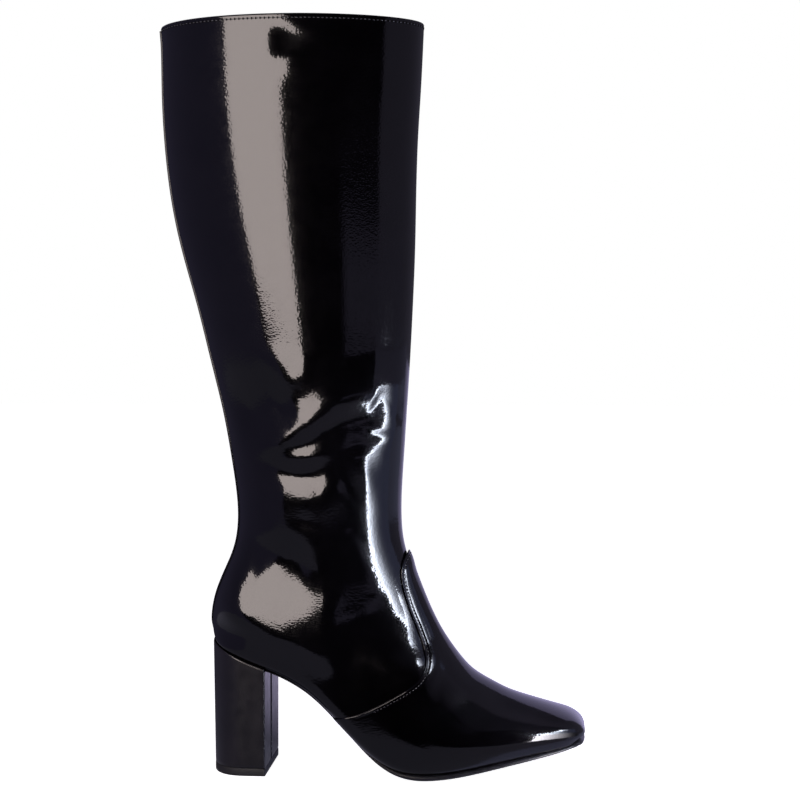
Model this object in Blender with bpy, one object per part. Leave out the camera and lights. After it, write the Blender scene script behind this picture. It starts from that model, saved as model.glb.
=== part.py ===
"""Tall leather boot with a block heel, right foot, built as closed solids in metres.

The working frame is in millimetres: x runs from heel to toe, y to the inner side of the foot
and z up from the floor. The upper is a loft of sections that fan from the level rings of the
shaft, round the heel, to the upright rings of the toe. Vamp, strip and insole are cut from
the same surface, so they follow it at an even distance.
"""
import math
from collections import namedtuple

import bmesh
import bpy
import numpy as np
from mathutils import Vector
from mathutils.bvhtree import BVHTree

MM = 0.001

WALL = 2.0
GAP = 0.3
VAMP_GAP = 0.42
VAMP_THICK = 1.2
STRIP_THICK = 1.1
STRIP_HALF_WIDTH = 4.0
STRIP_START = 0.1
INSOLE_THICK = 2.5
SEAT_EXTRA_GAP = 0.15
COLLAR_BOW = 1.0
TOE_LINE_X = 106.0

HEEL_BREAST_X = -83.2
HEEL_BACK_X = -119.2
HEEL_HALF_WIDTH = 28.6
HEEL_ROUND_FROM_X = -96.0
HEEL_TOP_SPREAD = 1.0
HEEL_POWER = 2.3
RIM_FRONT_Z = 68.3
RIM_SLOPE = 0.34
RIM_BEND = 0.0027
TOP_PIECE_HEIGHT = 5.0

RING_COLUMNS = 36
SLOT_COLUMNS = 3
VAMP_COLUMNS_SKIPPED = 4
VAMP_BLEND_ROWS = 7
INSOLE_COLUMNS = 4

Row = namedtuple(
    "Row",
    "front_x front_z back_x back_z lateral medial swing back_power front_power low",
)

# One row a section, from the collar to the toe. Front and back are the ends of the section
# in the middle plane, lateral and medial its half widths, swing its shift to the inner side,
# the powers how square its two ends are, low how far its widest place sits towards the back.
SECTIONS = (
    Row(15.9, 478.0, -153.6, 476.6, 42.5, 42.5, 0.0, 2.0, 2.0, 0.10),
    Row(15.2, 462.2, -152.6, 461.6, 42.3, 42.3, 0.0, 2.0, 2.0, 0.10),
    Row(13.8, 435.0, -152.2, 435.0, 42.2, 42.2, 0.0, 2.0, 2.0, 0.10),
    Row(12.0, 405.0, -150.7, 405.0, 41.8, 41.8, 0.0, 2.0, 2.0, 0.10),
    Row(10.9, 370.0, -146.8, 370.0, 40.8, 40.8, 0.0, 2.0, 2.0, 0.10),
    Row(10.2, 335.0, -139.6, 335.0, 39.4, 39.4, 0.0, 2.0, 2.0, 0.10),
    Row(8.8, 300.0, -129.9, 300.0, 37.8, 37.8, 0.0, 2.0, 2.0, 0.10),
    Row(7.0, 265.0, -121.2, 265.0, 36.4, 36.4, 0.0, 2.0, 2.0, 0.10),
    Row(4.9, 232.0, -113.2, 232.0, 35.2, 35.2, 0.0, 2.0, 2.0, 0.10),
    Row(2.9, 201.0, -107.4, 200.0, 34.2, 34.2, 0.0, 2.0, 2.0, 0.10),
    Row(1.5, 174.5, -103.7, 170.5, 33.6, 33.6, 0.0, 2.0, 2.0, 0.10),
    Row(2.2, 153.5, -105.2, 147.5, 33.2, 33.2, 0.0, 2.05, 2.0, 0.10),
    Row(5.3, 139.0, -111.1, 131.0, 33.0, 33.0, 0.0, 2.1, 2.0, 0.10),
    Row(9.5, 126.4, -117.4, 116.0, 32.6, 32.6, 0.0, 2.2, 2.0, 0.10),
    Row(14.1, 114.7, -120.8, 101.0, 32.2, 32.2, 0.0, 2.35, 2.0, 0.10),
    Row(18.1, 105.1, -119.9, 87.0, 32.0, 32.0, 0.0, 2.7, 2.0, 0.10),
    Row(22.2, 96.5, -111.6, 78.2, 32.0, 32.0, 0.0, 5.0, 2.0, 0.12),
    Row(26.6, 88.5, -95.0, 71.2, 32.4, 32.2, 0.2, 6.2, 2.0, 0.14),
    Row(32.1, 80.1, -75.0, 64.2, 33.6, 33.2, 0.4, 5.2, 2.0, 0.16),
    Row(38.2, 72.0, -55.0, 53.2, 35.2, 34.8, 0.6, 4.5, 2.0, 0.18),
    Row(45.1, 64.5, -36.0, 36.4, 37.2, 36.8, 0.8, 4.3, 2.0, 0.20),
    Row(52.8, 59.1, -18.0, 19.6, 39.4, 39.4, 1.0, 4.3, 1.95, 0.22),
    Row(60.8, 54.7, 0.0, 8.4, 40.8, 41.2, 1.3, 4.5, 1.9, 0.24),
    Row(69.8, 50.2, 19.0, 6.0, 40.8, 41.0, 1.8, 4.8, 1.9, 0.24),
    Row(80.0, 46.5, 39.0, 8.0, 39.0, 38.8, 2.4, 5.0, 1.95, 0.22),
    Row(91.0, 43.1, 60.0, 12.1, 35.6, 35.4, 3.0, 5.0, 2.0, 0.20),
    Row(100.9, 40.0, 80.0, 16.4, 32.0, 31.8, 3.6, 4.6, 2.1, 0.16),
    Row(109.0, 37.0, 97.6, 20.3, 28.6, 28.6, 4.1, 4.0, 2.3, 0.12),
    Row(113.9, 33.6, 109.0, 23.2, 25.2, 25.2, 4.5, 3.4, 2.5, 0.08),
    Row(116.2, 30.8, 114.8, 25.4, 20.0, 20.0, 4.7, 3.0, 2.7, 0.04),
    Row(117.0, 29.0, 116.8, 27.2, 12.0, 12.0, 4.8, 2.8, 2.8, 0.0),
)

SoleRow = namedtuple("SoleRow", "x lateral medial thick sag_top sag_low")

# One row a cross section of the outsole: half widths, thickness in the middle, and how far
# the edges of its top and underside sit above the middle.
SOLE = (
    SoleRow(-82.2, 25.5, 25.5, 1.6, 0.4, 1.4),
    SoleRow(-66.0, 24.5, 23.5, 2.2, 0.4, 1.2),
    SoleRow(-46.0, 25.0, 22.5, 2.7, 0.3, 1.2),
    SoleRow(-26.0, 28.5, 25.5, 3.5, 0.1, 1.4),
    SoleRow(-7.0, 33.6, 32.0, 5.1, -0.5, 1.7),
    SoleRow(12.0, 37.2, 37.2, 6.6, -1.0, 2.1),
    SoleRow(32.0, 37.6, 37.6, 6.6, -1.3, 2.1),
    SoleRow(54.0, 35.4, 35.2, 5.9, -1.5, 1.6),
    SoleRow(76.0, 31.6, 31.4, 5.6, -1.7, 1.4),
    SoleRow(95.0, 27.8, 27.8, 5.2, -1.7, 1.2),
    SoleRow(106.6, 24.2, 24.2, 4.9, -1.7, 1.0),
    SoleRow(113.2, 20.4, 20.4, 4.6, -1.4, 0.9),
    SoleRow(116.0, 15.6, 15.6, 4.5, -1.0, 0.8),
    SoleRow(116.8, 10.0, 10.0, 4.5, -0.8, 0.6),
)

SeamRow = namedtuple("SeamRow", "angle station")

# Edge of the vamp, a row for each column of the loft from the ridge in front to the sole:
# the angle down from the ridge and the station along the upper.
SEAM = (
    SeamRow(0.0, 11.82),
    SeamRow(13.0, 11.89),
    SeamRow(22.0, 12.33),
    SeamRow(26.8, 13.30),
    SeamRow(29.0, 15.70),
    SeamRow(35.0, 17.45),
    SeamRow(45.0, 18.60),
    SeamRow(57.0, 19.27),
    SeamRow(69.0, 19.56),
    SeamRow(82.0, 19.74),
    SeamRow(96.0, 19.87),
    SeamRow(110.0, 19.90),
    SeamRow(120.0, 19.89),
    SeamRow(130.0, 19.84),
    SeamRow(140.0, 19.80),
)


def spline(values):
    """Returns a function through evenly spaced rows, smooth to its second derivative."""
    data = np.asarray(values, dtype=float)
    count = len(data)
    matrix = np.zeros((count, count))
    right = np.zeros_like(data)
    matrix[0, 0] = 1.0
    matrix[-1, -1] = 1.0
    for i in range(1, count - 1):
        matrix[i, i - 1:i + 2] = (1.0, 4.0, 1.0)
        right[i] = 6.0 * (data[i - 1] - 2.0 * data[i] + data[i + 1])
    bend = np.linalg.solve(matrix, right)

    def value(t):
        station = np.asarray(t, dtype=float)
        i = np.clip(np.floor(station).astype(int), 0, count - 2)
        b = (station - i)[..., None]
        a = 1.0 - b
        curve = (a ** 3 - a) * bend[i] + (b ** 3 - b) * bend[i + 1]
        return a * data[i] + b * data[i + 1] + curve / 6.0

    return value


section_at = spline(SECTIONS)
LAST = len(SECTIONS) - 1


def spread(table, key, x, column):
    """Returns a table column as a smooth function of another column."""
    keys = np.array([getattr(row, key) for row in table])
    values = np.array([getattr(row, column) for row in table])
    slope = np.gradient(values, keys)
    i = np.clip(np.searchsorted(keys, x) - 1, 0, len(keys) - 2)
    width = keys[i + 1] - keys[i]
    b = (x - keys[i]) / width
    low = values[i] * (1 + 2 * b) * (1 - b) ** 2 + slope[i] * width * b * (1 - b) ** 2
    high = values[i + 1] * b ** 2 * (3 - 2 * b) + slope[i + 1] * width * b ** 2 * (b - 1)
    return low + high


def surface(t, angle):
    """Returns points of the outer surface at stations t and angles round the section.

    The angle is 0 at the back or underside, 90 on the inner side and 180 at the front.
    """
    t, angle = np.broadcast_arrays(np.asarray(t, float), np.asarray(angle, float))
    row = section_at(t)
    fx, fz, bx, bz, lateral, medial, swing, back_power, front_power, low = np.moveaxis(row, -1, 0)
    turn = np.radians(angle - 90.0)
    c = np.cos(turn)
    s = np.sin(turn)
    share = 0.5 + 0.5 * s
    share = share * share * (3.0 - 2.0 * share)
    power = back_power + (front_power - back_power) * share
    reach = (np.abs(c) ** power + np.abs(s) ** power) ** (-1.0 / power)
    half = np.where(c > 0.0, medial, lateral)
    along = s * reach
    along = along - low * (1.0 - along * along)
    x = 0.5 * (fx + bx) + 0.5 * (fx - bx) * along
    z = 0.5 * (fz + bz) + 0.5 * (fz - bz) * along
    z = z + COLLAR_BOW * (1.0 - along * along) * np.clip(1.0 - 0.5 * t, 0.0, 1.0) ** 2
    y = swing + half * c * reach
    return np.stack((x, y, z), axis=-1)


def offset(t, angle, distance):
    """Returns points at a distance outside the surface, measured along its normal."""
    t, angle = np.broadcast_arrays(np.asarray(t, float), np.asarray(angle, float))
    ahead = np.clip(t + 0.02, 0.0, LAST)
    behind = np.clip(t - 0.02, 0.0, LAST)
    along = surface(ahead, angle) - surface(behind, angle)
    round_ = surface(t, angle + 0.5) - surface(t, angle - 0.5)
    normal = np.cross(round_, along)
    normal /= np.linalg.norm(normal, axis=-1, keepdims=True)
    return surface(t, angle) + normal * distance


def stations(pairs):
    """Returns the stations of a loft from (first, last, steps) runs that follow each other."""
    runs = [np.linspace(first, last, steps, endpoint=False) for first, last, steps in pairs]
    return np.concatenate(runs + [[pairs[-1][1]]])


def back_line(x):
    """Returns the height of the upper's underside in the middle plane at x, past the seat."""
    t = np.linspace(16.0, LAST, 700)
    line = section_at(t)
    return np.interp(x, line[:, 2], line[:, 3])


def sole_line(x):
    """Returns the line that the sole follows: the underside, then straight on under the toe."""
    slope = (back_line(TOE_LINE_X) - back_line(TOE_LINE_X - 4.0)) / 4.0
    return back_line(np.minimum(x, TOE_LINE_X)) + slope * np.maximum(x - TOE_LINE_X, 0.0)


def swing_at(x):
    """Returns the shift to the inner side that the upper has above the sole at x."""
    t = np.linspace(16.0, LAST, 700)
    line = section_at(t)
    return np.interp(x, line[:, 2], line[:, 6])


class Solid:
    """Collects the points and faces of one closed piece."""

    def __init__(self):
        self.points = []
        self.faces = []

    def grid(self, block):
        """Adds a block of points and returns the indices in the same arrangement."""
        block = np.asarray(block, float)
        first = len(self.points)
        self.points.extend(block.reshape(-1, 3).tolist())
        return first + np.arange(block.shape[0] * block.shape[1]).reshape(block.shape[:2])

    def quads(self, index, flip=False):
        """Adds the faces of a block of indices."""
        for a, b in zip(index[:-1], index[1:]):
            for i in range(len(a) - 1):
                self.face((a[i], a[i + 1], b[i + 1], b[i]), flip)

    def face(self, corners, flip=False):
        """Adds one face, with repeated corners dropped."""
        ring = [int(v) for i, v in enumerate(corners) if v != corners[i - 1]]
        if len(ring) > 2:
            self.faces.append(ring[::-1] if flip else ring)

    def wall(self, a, b, flip=False):
        """Adds a strip of faces between two rows of indices."""
        for i in range(len(a) - 1):
            self.face((a[i], a[i + 1], b[i + 1], b[i]), flip)

    def cap(self, ring, flip=False):
        """Closes a row of indices across its middle, first end to last end."""
        ring = list(ring)
        while len(ring) > 3:
            self.face((ring[0], ring[1], ring[-2], ring[-1]), flip)
            ring = ring[1:-1]
        if len(ring) == 3:
            self.face(tuple(ring), flip)


def finish(name, solid, finish_values, shift):
    """Makes the named object from a solid and gives it its material."""
    mesh = bpy.data.meshes.new(name)
    points = [((x - shift[0]) * MM, (y - shift[1]) * MM, z * MM) for x, y, z in solid.points]
    mesh.from_pydata(points, [], solid.faces)
    work = bmesh.new()
    work.from_mesh(mesh)
    bmesh.ops.recalc_face_normals(work, faces=work.faces[:])
    bmesh.ops.triangulate(work, faces=work.faces[:])
    work.to_mesh(mesh)
    work.free()
    mesh.shade_smooth()
    colour, rough, metal = finish_values
    material = bpy.data.materials.new(name + "_finish")
    material.use_nodes = True
    shader = material.node_tree.nodes["Principled BSDF"]
    shader.inputs["Base Color"].default_value = (*colour, 1.0)
    shader.inputs["Roughness"].default_value = rough
    shader.inputs["Metallic"].default_value = metal
    mesh.materials.append(material)
    thing = bpy.data.objects.new(name, mesh)
    bpy.context.scene.collection.objects.link(thing)
    return thing


UPPER_STATIONS = stations(((0, 10, 12), (10, 16, 8), (16, 20, 6), (20, 27, 12), (27, 30, 5)))
RING = np.arange(RING_COLUMNS + 1) * 360.0 / RING_COLUMNS


def upper():
    """The hollow wall: outer and inner surface, collar edge, and the slot underneath."""
    solid = Solid()
    rows = UPPER_STATIONS
    inner_rows = rows[rows <= 28.6]
    ring = RING[:-1]
    outer = solid.grid(offset(rows[:, None], ring[None, :], 0.0))
    inner = solid.grid(offset(inner_rows[:, None], ring[None, :], -WALL))
    outer = np.hstack((outer, outer[:, :1]))
    inner = np.hstack((inner, inner[:, :1]))
    first = int(np.searchsorted(rows, 16.5))
    last = int(np.searchsorted(rows, 27.2))
    near = list(range(SLOT_COLUMNS + 1))
    left = [RING_COLUMNS - k for k in near][::-1]
    for index, flip in ((outer, False), (inner, True)):
        solid.quads(index[:first + 1], flip)
        solid.quads(index[first:last + 1, SLOT_COLUMNS:RING_COLUMNS - SLOT_COLUMNS + 1], flip)
        solid.quads(index[last:], flip)
        solid.cap(index[-1, :-1], flip)
    solid.wall(outer[0], inner[0], True)
    span = slice(first, last + 1)
    solid.wall(outer[span, SLOT_COLUMNS], inner[span, SLOT_COLUMNS])
    solid.wall(outer[span, RING_COLUMNS - SLOT_COLUMNS], inner[span, RING_COLUMNS - SLOT_COLUMNS])
    across = left + near[1:]
    solid.wall(outer[first][across], inner[first][across])
    solid.wall(outer[last][across], inner[last][across])
    return solid


def overlay(grid_low, grid_high, closed_toe):
    """A thin shell between two blocks of points that lie over each other."""
    solid = Solid()
    low = solid.grid(grid_low)
    high = solid.grid(grid_high)
    solid.quads(low)
    solid.quads(high, True)
    if closed_toe:
        solid.cap(low[-1])
        solid.cap(high[-1], True)
        edge_low = np.concatenate((low[::-1, 0], low[0, 1:], low[1:, -1], low[-1, :1]))
        edge_high = np.concatenate((high[::-1, 0], high[0, 1:], high[1:, -1], high[-1, :1]))
    else:
        edge_low = np.concatenate((low[::-1, 0], low[0, 1:], low[1:, -1], low[-1, -2::-1]))
        edge_high = np.concatenate((high[::-1, 0], high[0, 1:], high[1:, -1], high[-1, -2::-1]))
    solid.wall(edge_low, edge_high)
    return solid


def vamp():
    """The front piece: from its edge on the instep to the toe, over the upper's wall."""
    skip = VAMP_COLUMNS_SKIPPED
    angles = RING[skip:RING_COLUMNS - skip + 1]
    edge = np.array(SEAM)
    edge = np.vstack((edge[:0:-1] * (-1.0, 1.0), edge)) + (180.0, 0.0)
    later = UPPER_STATIONS[UPPER_STATIONS > 20.4]
    share = np.linspace(0.0, 1.0, VAMP_BLEND_ROWS + 1)[:-1, None]
    t = edge[None, :, 1] + (later[0] - edge[None, :, 1]) * share
    turn = edge[None, :, 0] + (angles - edge[:, 0])[None, :] * share * share * (3.0 - 2.0 * share)
    t = np.vstack((t, np.repeat(later[:, None], len(angles), axis=1)))
    turn = np.vstack((turn, np.repeat(angles[None, :], len(later), axis=0)))
    return overlay(offset(t, turn, VAMP_GAP), offset(t, turn, VAMP_GAP + VAMP_THICK), True)


def back_strip():
    """The raised strip over the back seam, from the collar to the heel."""
    t = UPPER_STATIONS[UPPER_STATIONS < 14.7].copy()
    t[0] = STRIP_START
    shares = np.array((-1.0, -0.5, 0.0, 0.5, 1.0))
    lateral = section_at(t)[:, 4]
    angle = np.degrees(np.arcsin(STRIP_HALF_WIDTH / lateral))[:, None] * shares[None, :]
    low = offset(t[:, None], angle, GAP)
    high = offset(t[:, None], angle, GAP + STRIP_THICK * (1.0 - 0.25 * shares[None, :, None] ** 2))
    return overlay(low, high, False)


def insole():
    """The sock on the turned margin, from the seat to the toe."""
    rows = UPPER_STATIONS[(UPPER_STATIONS > 15.6) & (UPPER_STATIONS < 27.9)]
    angles = (np.arange(-INSOLE_COLUMNS, INSOLE_COLUMNS + 1) * 360.0 / RING_COLUMNS)
    low = offset(rows[:, None], angles[None, :], -WALL - GAP)
    high = offset(rows[:, None], angles[None, :], -WALL - GAP - INSOLE_THICK)
    return overlay(low, high, False)


def outsole():
    """The sole: follows the underside of the upper, with a flat spot on the floor."""
    solid = Solid()
    runs = ((-82.2, -30.0, 6), (-30.0, 36.0, 12), (36.0, 106.6, 8), (106.6, 116.8, 5))
    xs = stations(runs)
    shares = np.linspace(-1.0, 1.0, 9)
    half = np.where(
        shares[None, :] < 0.0,
        spread(SOLE, "x", xs, "lateral")[:, None],
        spread(SOLE, "x", xs, "medial")[:, None],
    )
    y = swing_at(xs)[:, None] + half * shares[None, :]
    slope = (sole_line(xs + 1.0) - sole_line(xs - 1.0)) / 2.0
    long = np.sqrt(1.0 + slope * slope)
    nx = (-slope / long)[:, None]
    nz = (1.0 / long)[:, None]
    base = sole_line(xs)[:, None]
    bulge = shares[None, :] ** 2
    rise_top = spread(SOLE, "x", xs, "sag_top")[:, None] * bulge
    rise_low = spread(SOLE, "x", xs, "sag_low")[:, None] * bulge
    drop = GAP + spread(SOLE, "x", xs, "thick")[:, None]
    top = np.stack((xs[:, None] - nx * (GAP - rise_top), y, base - nz * (GAP - rise_top)), axis=-1)
    low = np.stack((xs[:, None] - nx * (drop - rise_low), y, base - nz * (drop - rise_low)), axis=-1)
    low[..., 2] = np.maximum(low[..., 2], 0.0)
    upper_index = solid.grid(top)
    lower_index = solid.grid(low)
    solid.quads(upper_index)
    solid.quads(lower_index, True)
    for a, b in ((upper_index, lower_index),):
        edge_a = np.concatenate((a[::-1, 0], a[0, 1:], a[1:, -1], a[-1, -2::-1]))
        edge_b = np.concatenate((b[::-1, 0], b[0, 1:], b[1:, -1], b[-1, -2::-1]))
        solid.wall(edge_a, edge_b)
    return solid


def heel_outline(spread_by):
    """Returns the D shape of the heel in plan, from one breast corner round the back."""
    half = HEEL_HALF_WIDTH + spread_by
    back = HEEL_BACK_X - spread_by
    turn = np.radians(np.linspace(0.0, 180.0, 25))
    c = np.cos(turn)
    s = np.sin(turn)
    reach = (np.abs(c) ** HEEL_POWER + np.abs(s) ** HEEL_POWER) ** (-1.0 / HEEL_POWER)
    x = HEEL_ROUND_FROM_X + (back - HEEL_ROUND_FROM_X) * s * reach
    y = -half * c * reach
    front = np.array([[HEEL_BREAST_X, -half], [-89.6, -half]])
    rear = np.array([[-89.6, half], [HEEL_BREAST_X, half]])
    breast = np.stack((np.full(7, HEEL_BREAST_X), np.linspace(half, -half, 9)[1:-1]), axis=-1)
    return np.vstack((front, np.stack((x, y), axis=-1), rear, breast))


def rim_height(x):
    """Returns the height of the heel's top edge at x."""
    back = HEEL_BREAST_X - x
    return RIM_FRONT_Z + RIM_SLOPE * back + RIM_BEND * back * back


def seat_finder():
    """Returns a function for the height of the seat above a place on the floor."""
    t = np.linspace(13.0, 20.0, 90)
    angles = np.linspace(-110.0, 110.0, 111)
    block = offset(t[:, None], angles[None, :], GAP + SEAT_EXTRA_GAP)
    solid = Solid()
    solid.quads(solid.grid(block))
    tree = BVHTree.FromPolygons([Vector(p) for p in solid.points], solid.faces)

    def height(x, y):
        hit = tree.ray_cast(Vector((x, y, 0.0)), Vector((0.0, 0.0, 1.0)))
        return hit[0][2] if hit[0] is not None else math.inf

    return height


def heel():
    """The block: straight walls, flat breast, and a top hollowed to the seat."""
    solid = Solid()
    height = seat_finder()
    low_ring = heel_outline(0.0)
    top_ring = heel_outline(HEEL_TOP_SPREAD)
    middle = np.array([-98.0, 0.0])
    floor_z = TOP_PIECE_HEIGHT + GAP
    rows = []
    for share in (0.0, 0.35, 0.7):
        plan = low_ring + (top_ring - low_ring) * share
        z = floor_z + (rim_height(plan[:, 0]) - floor_z) * share
        rows.append(np.column_stack((plan, z)))
    for scale in (1.0, 0.94, 0.8, 0.6, 0.35):
        plan = middle + (top_ring - middle) * scale
        z = np.array([min(rim_height(x), height(x, y)) for x, y in plan])
        rows.append(np.column_stack((plan, z)))
    index = solid.grid(np.array(rows))
    index = np.hstack((index, index[:, :1]))
    solid.quads(index)
    top = solid.grid([[(*middle, min(rim_height(middle[0]), height(*middle)))]])[0, 0]
    base = solid.grid([[(*middle, floor_z)]])[0, 0]
    for i in range(index.shape[1] - 1):
        solid.face((index[-1, i], index[-1, i + 1], top))
        solid.face((index[0, i + 1], index[0, i], base))
    return solid


def heel_top_piece():
    """The lift under the heel block."""
    solid = Solid()
    plan = heel_outline(0.0)
    rows = [np.column_stack((plan, np.full(len(plan), z))) for z in (0.0, TOP_PIECE_HEIGHT)]
    index = solid.grid(np.array(rows))
    index = np.hstack((index, index[:, :1]))
    solid.quads(index)
    centre = solid.grid([[(-98.0, 0.0, 0.0), (-98.0, 0.0, TOP_PIECE_HEIGHT)]])[0]
    for i in range(index.shape[1] - 1):
        solid.face((index[0, i + 1], index[0, i], centre[0]))
        solid.face((index[1, i], index[1, i + 1], centre[1]))
    return solid


FINISHES = {
    "upper": ((0.012, 0.011, 0.014), 0.16, 0.0),
    "vamp": ((0.012, 0.011, 0.014), 0.16, 0.0),
    "back_strip": ((0.010, 0.010, 0.012), 0.22, 0.0),
    "outsole": ((0.030, 0.030, 0.034), 0.45, 0.0),
    "insole": ((0.110, 0.085, 0.065), 0.75, 0.0),
    "heel": ((0.022, 0.020, 0.023), 0.30, 0.0),
    "heel_top_piece": ((0.016, 0.016, 0.017), 0.65, 0.0),
}


def main():
    for thing in list(bpy.data.objects):
        bpy.data.objects.remove(thing, do_unlink=True)
    solids = {
        "upper": upper(),
        "vamp": vamp(),
        "back_strip": back_strip(),
        "outsole": outsole(),
        "insole": insole(),
        "heel": heel(),
        "heel_top_piece": heel_top_piece(),
    }
    cloud = np.vstack([np.asarray(solid.points) for solid in solids.values()])
    shift = 0.5 * (cloud.min(axis=0) + cloud.max(axis=0))
    print("centre of the box in the working frame, mm:", shift[:2].round(3))
    for name, solid in solids.items():
        finish(name, solid, FINISHES[name], shift)


main()
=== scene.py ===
"""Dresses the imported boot: patent leather with its folds, stitches, sole, heel and studio light.

Sizes are in millimetres in the working frame of the solids: x runs from heel to toe, y to the
inner side of the foot and z up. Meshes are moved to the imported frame, in metres, when made.
"""
from __future__ import annotations

import logging
import math
from dataclasses import dataclass
from enum import Enum
from typing import Any, Callable, NamedTuple, Sequence

import bmesh
import bpy
import numpy as np
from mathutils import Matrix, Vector
from mathutils.bvhtree import BVHTree

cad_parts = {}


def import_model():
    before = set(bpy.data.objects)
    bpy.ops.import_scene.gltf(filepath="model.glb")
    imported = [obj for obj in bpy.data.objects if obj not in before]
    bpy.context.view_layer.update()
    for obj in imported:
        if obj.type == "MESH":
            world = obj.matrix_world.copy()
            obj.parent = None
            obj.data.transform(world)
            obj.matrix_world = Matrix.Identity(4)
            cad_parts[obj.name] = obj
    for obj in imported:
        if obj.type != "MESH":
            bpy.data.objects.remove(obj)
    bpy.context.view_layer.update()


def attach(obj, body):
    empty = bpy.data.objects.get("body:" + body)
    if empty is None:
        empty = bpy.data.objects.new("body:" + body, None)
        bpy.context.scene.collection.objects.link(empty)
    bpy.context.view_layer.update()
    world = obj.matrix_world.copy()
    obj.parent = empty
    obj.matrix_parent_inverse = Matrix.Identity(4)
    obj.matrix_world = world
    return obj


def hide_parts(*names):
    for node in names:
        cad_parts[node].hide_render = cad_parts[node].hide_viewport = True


LOG = logging.getLogger("boot")
MM = 0.001
CENTRE_X = -18.164
CENTRE_Y = 0.985
BODY = "root"

MERGE = 1e-7
WALL = 2.0
GAP = 0.3
Colour = tuple[float, float, float]
BLACK: Colour = (0.0, 0.0, 0.0)


class Section(NamedTuple):
    """One section of the upper; see the solids' table of the same columns."""

    front_x: float
    front_z: float
    back_x: float
    back_z: float
    lateral: float
    medial: float
    swing: float
    back_power: float
    front_power: float
    low: float


SECTIONS: tuple[Section, ...] = tuple(Section(*row) for row in (
    (15.9, 478.0, -153.6, 476.6, 42.5, 42.5, 0.0, 2.0, 2.0, 0.10),
    (15.2, 462.2, -152.6, 461.6, 42.3, 42.3, 0.0, 2.0, 2.0, 0.10),
    (13.8, 435.0, -152.2, 435.0, 42.2, 42.2, 0.0, 2.0, 2.0, 0.10),
    (12.0, 405.0, -150.7, 405.0, 41.8, 41.8, 0.0, 2.0, 2.0, 0.10),
    (10.9, 370.0, -146.8, 370.0, 40.8, 40.8, 0.0, 2.0, 2.0, 0.10),
    (10.2, 335.0, -139.6, 335.0, 39.4, 39.4, 0.0, 2.0, 2.0, 0.10),
    (8.8, 300.0, -129.9, 300.0, 37.8, 37.8, 0.0, 2.0, 2.0, 0.10),
    (7.0, 265.0, -121.2, 265.0, 36.4, 36.4, 0.0, 2.0, 2.0, 0.10),
    (4.9, 232.0, -113.2, 232.0, 35.2, 35.2, 0.0, 2.0, 2.0, 0.10),
    (2.9, 201.0, -107.4, 200.0, 34.2, 34.2, 0.0, 2.0, 2.0, 0.10),
    (1.5, 174.5, -103.7, 170.5, 33.6, 33.6, 0.0, 2.0, 2.0, 0.10),
    (2.2, 153.5, -105.2, 147.5, 33.2, 33.2, 0.0, 2.05, 2.0, 0.10),
    (5.3, 139.0, -111.1, 131.0, 33.0, 33.0, 0.0, 2.1, 2.0, 0.10),
    (9.5, 126.4, -117.4, 116.0, 32.6, 32.6, 0.0, 2.2, 2.0, 0.10),
    (14.1, 114.7, -120.8, 101.0, 32.2, 32.2, 0.0, 2.35, 2.0, 0.10),
    (18.1, 105.1, -119.9, 87.0, 32.0, 32.0, 0.0, 2.7, 2.0, 0.10),
    (22.2, 96.5, -111.6, 78.2, 32.0, 32.0, 0.0, 5.0, 2.0, 0.12),
    (26.6, 88.5, -95.0, 71.2, 32.4, 32.2, 0.2, 6.2, 2.0, 0.14),
    (32.1, 80.1, -75.0, 64.2, 33.6, 33.2, 0.4, 5.2, 2.0, 0.16),
    (38.2, 72.0, -55.0, 53.2, 35.2, 34.8, 0.6, 4.5, 2.0, 0.18),
    (45.1, 64.5, -36.0, 36.4, 37.2, 36.8, 0.8, 4.3, 2.0, 0.20),
    (52.8, 59.1, -18.0, 19.6, 39.4, 39.4, 1.0, 4.3, 1.95, 0.22),
    (60.8, 54.7, 0.0, 8.4, 40.8, 41.2, 1.3, 4.5, 1.9, 0.24),
    (69.8, 50.2, 19.0, 6.0, 40.8, 41.0, 1.8, 4.8, 1.9, 0.24),
    (80.0, 46.5, 39.0, 8.0, 39.0, 38.8, 2.4, 5.0, 1.95, 0.22),
    (91.0, 43.1, 60.0, 12.1, 35.6, 35.4, 3.0, 5.0, 2.0, 0.20),
    (100.9, 40.0, 80.0, 16.4, 32.0, 31.8, 3.6, 4.6, 2.1, 0.16),
    (109.0, 37.0, 97.6, 20.3, 28.6, 28.6, 4.1, 4.0, 2.3, 0.12),
    (113.9, 33.6, 109.0, 23.2, 25.2, 25.2, 4.5, 3.4, 2.5, 0.08),
    (116.2, 30.8, 114.8, 25.4, 20.0, 20.0, 4.7, 3.0, 2.7, 0.04),
    (117.0, 29.0, 116.8, 27.2, 12.0, 12.0, 4.8, 2.8, 2.8, 0.0),
))


class SoleRow(NamedTuple):
    """One cross section of the outsole: half widths, thickness and rise of the edges."""

    x: float
    lateral: float
    medial: float
    thick: float
    sag_top: float
    sag_low: float


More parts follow.
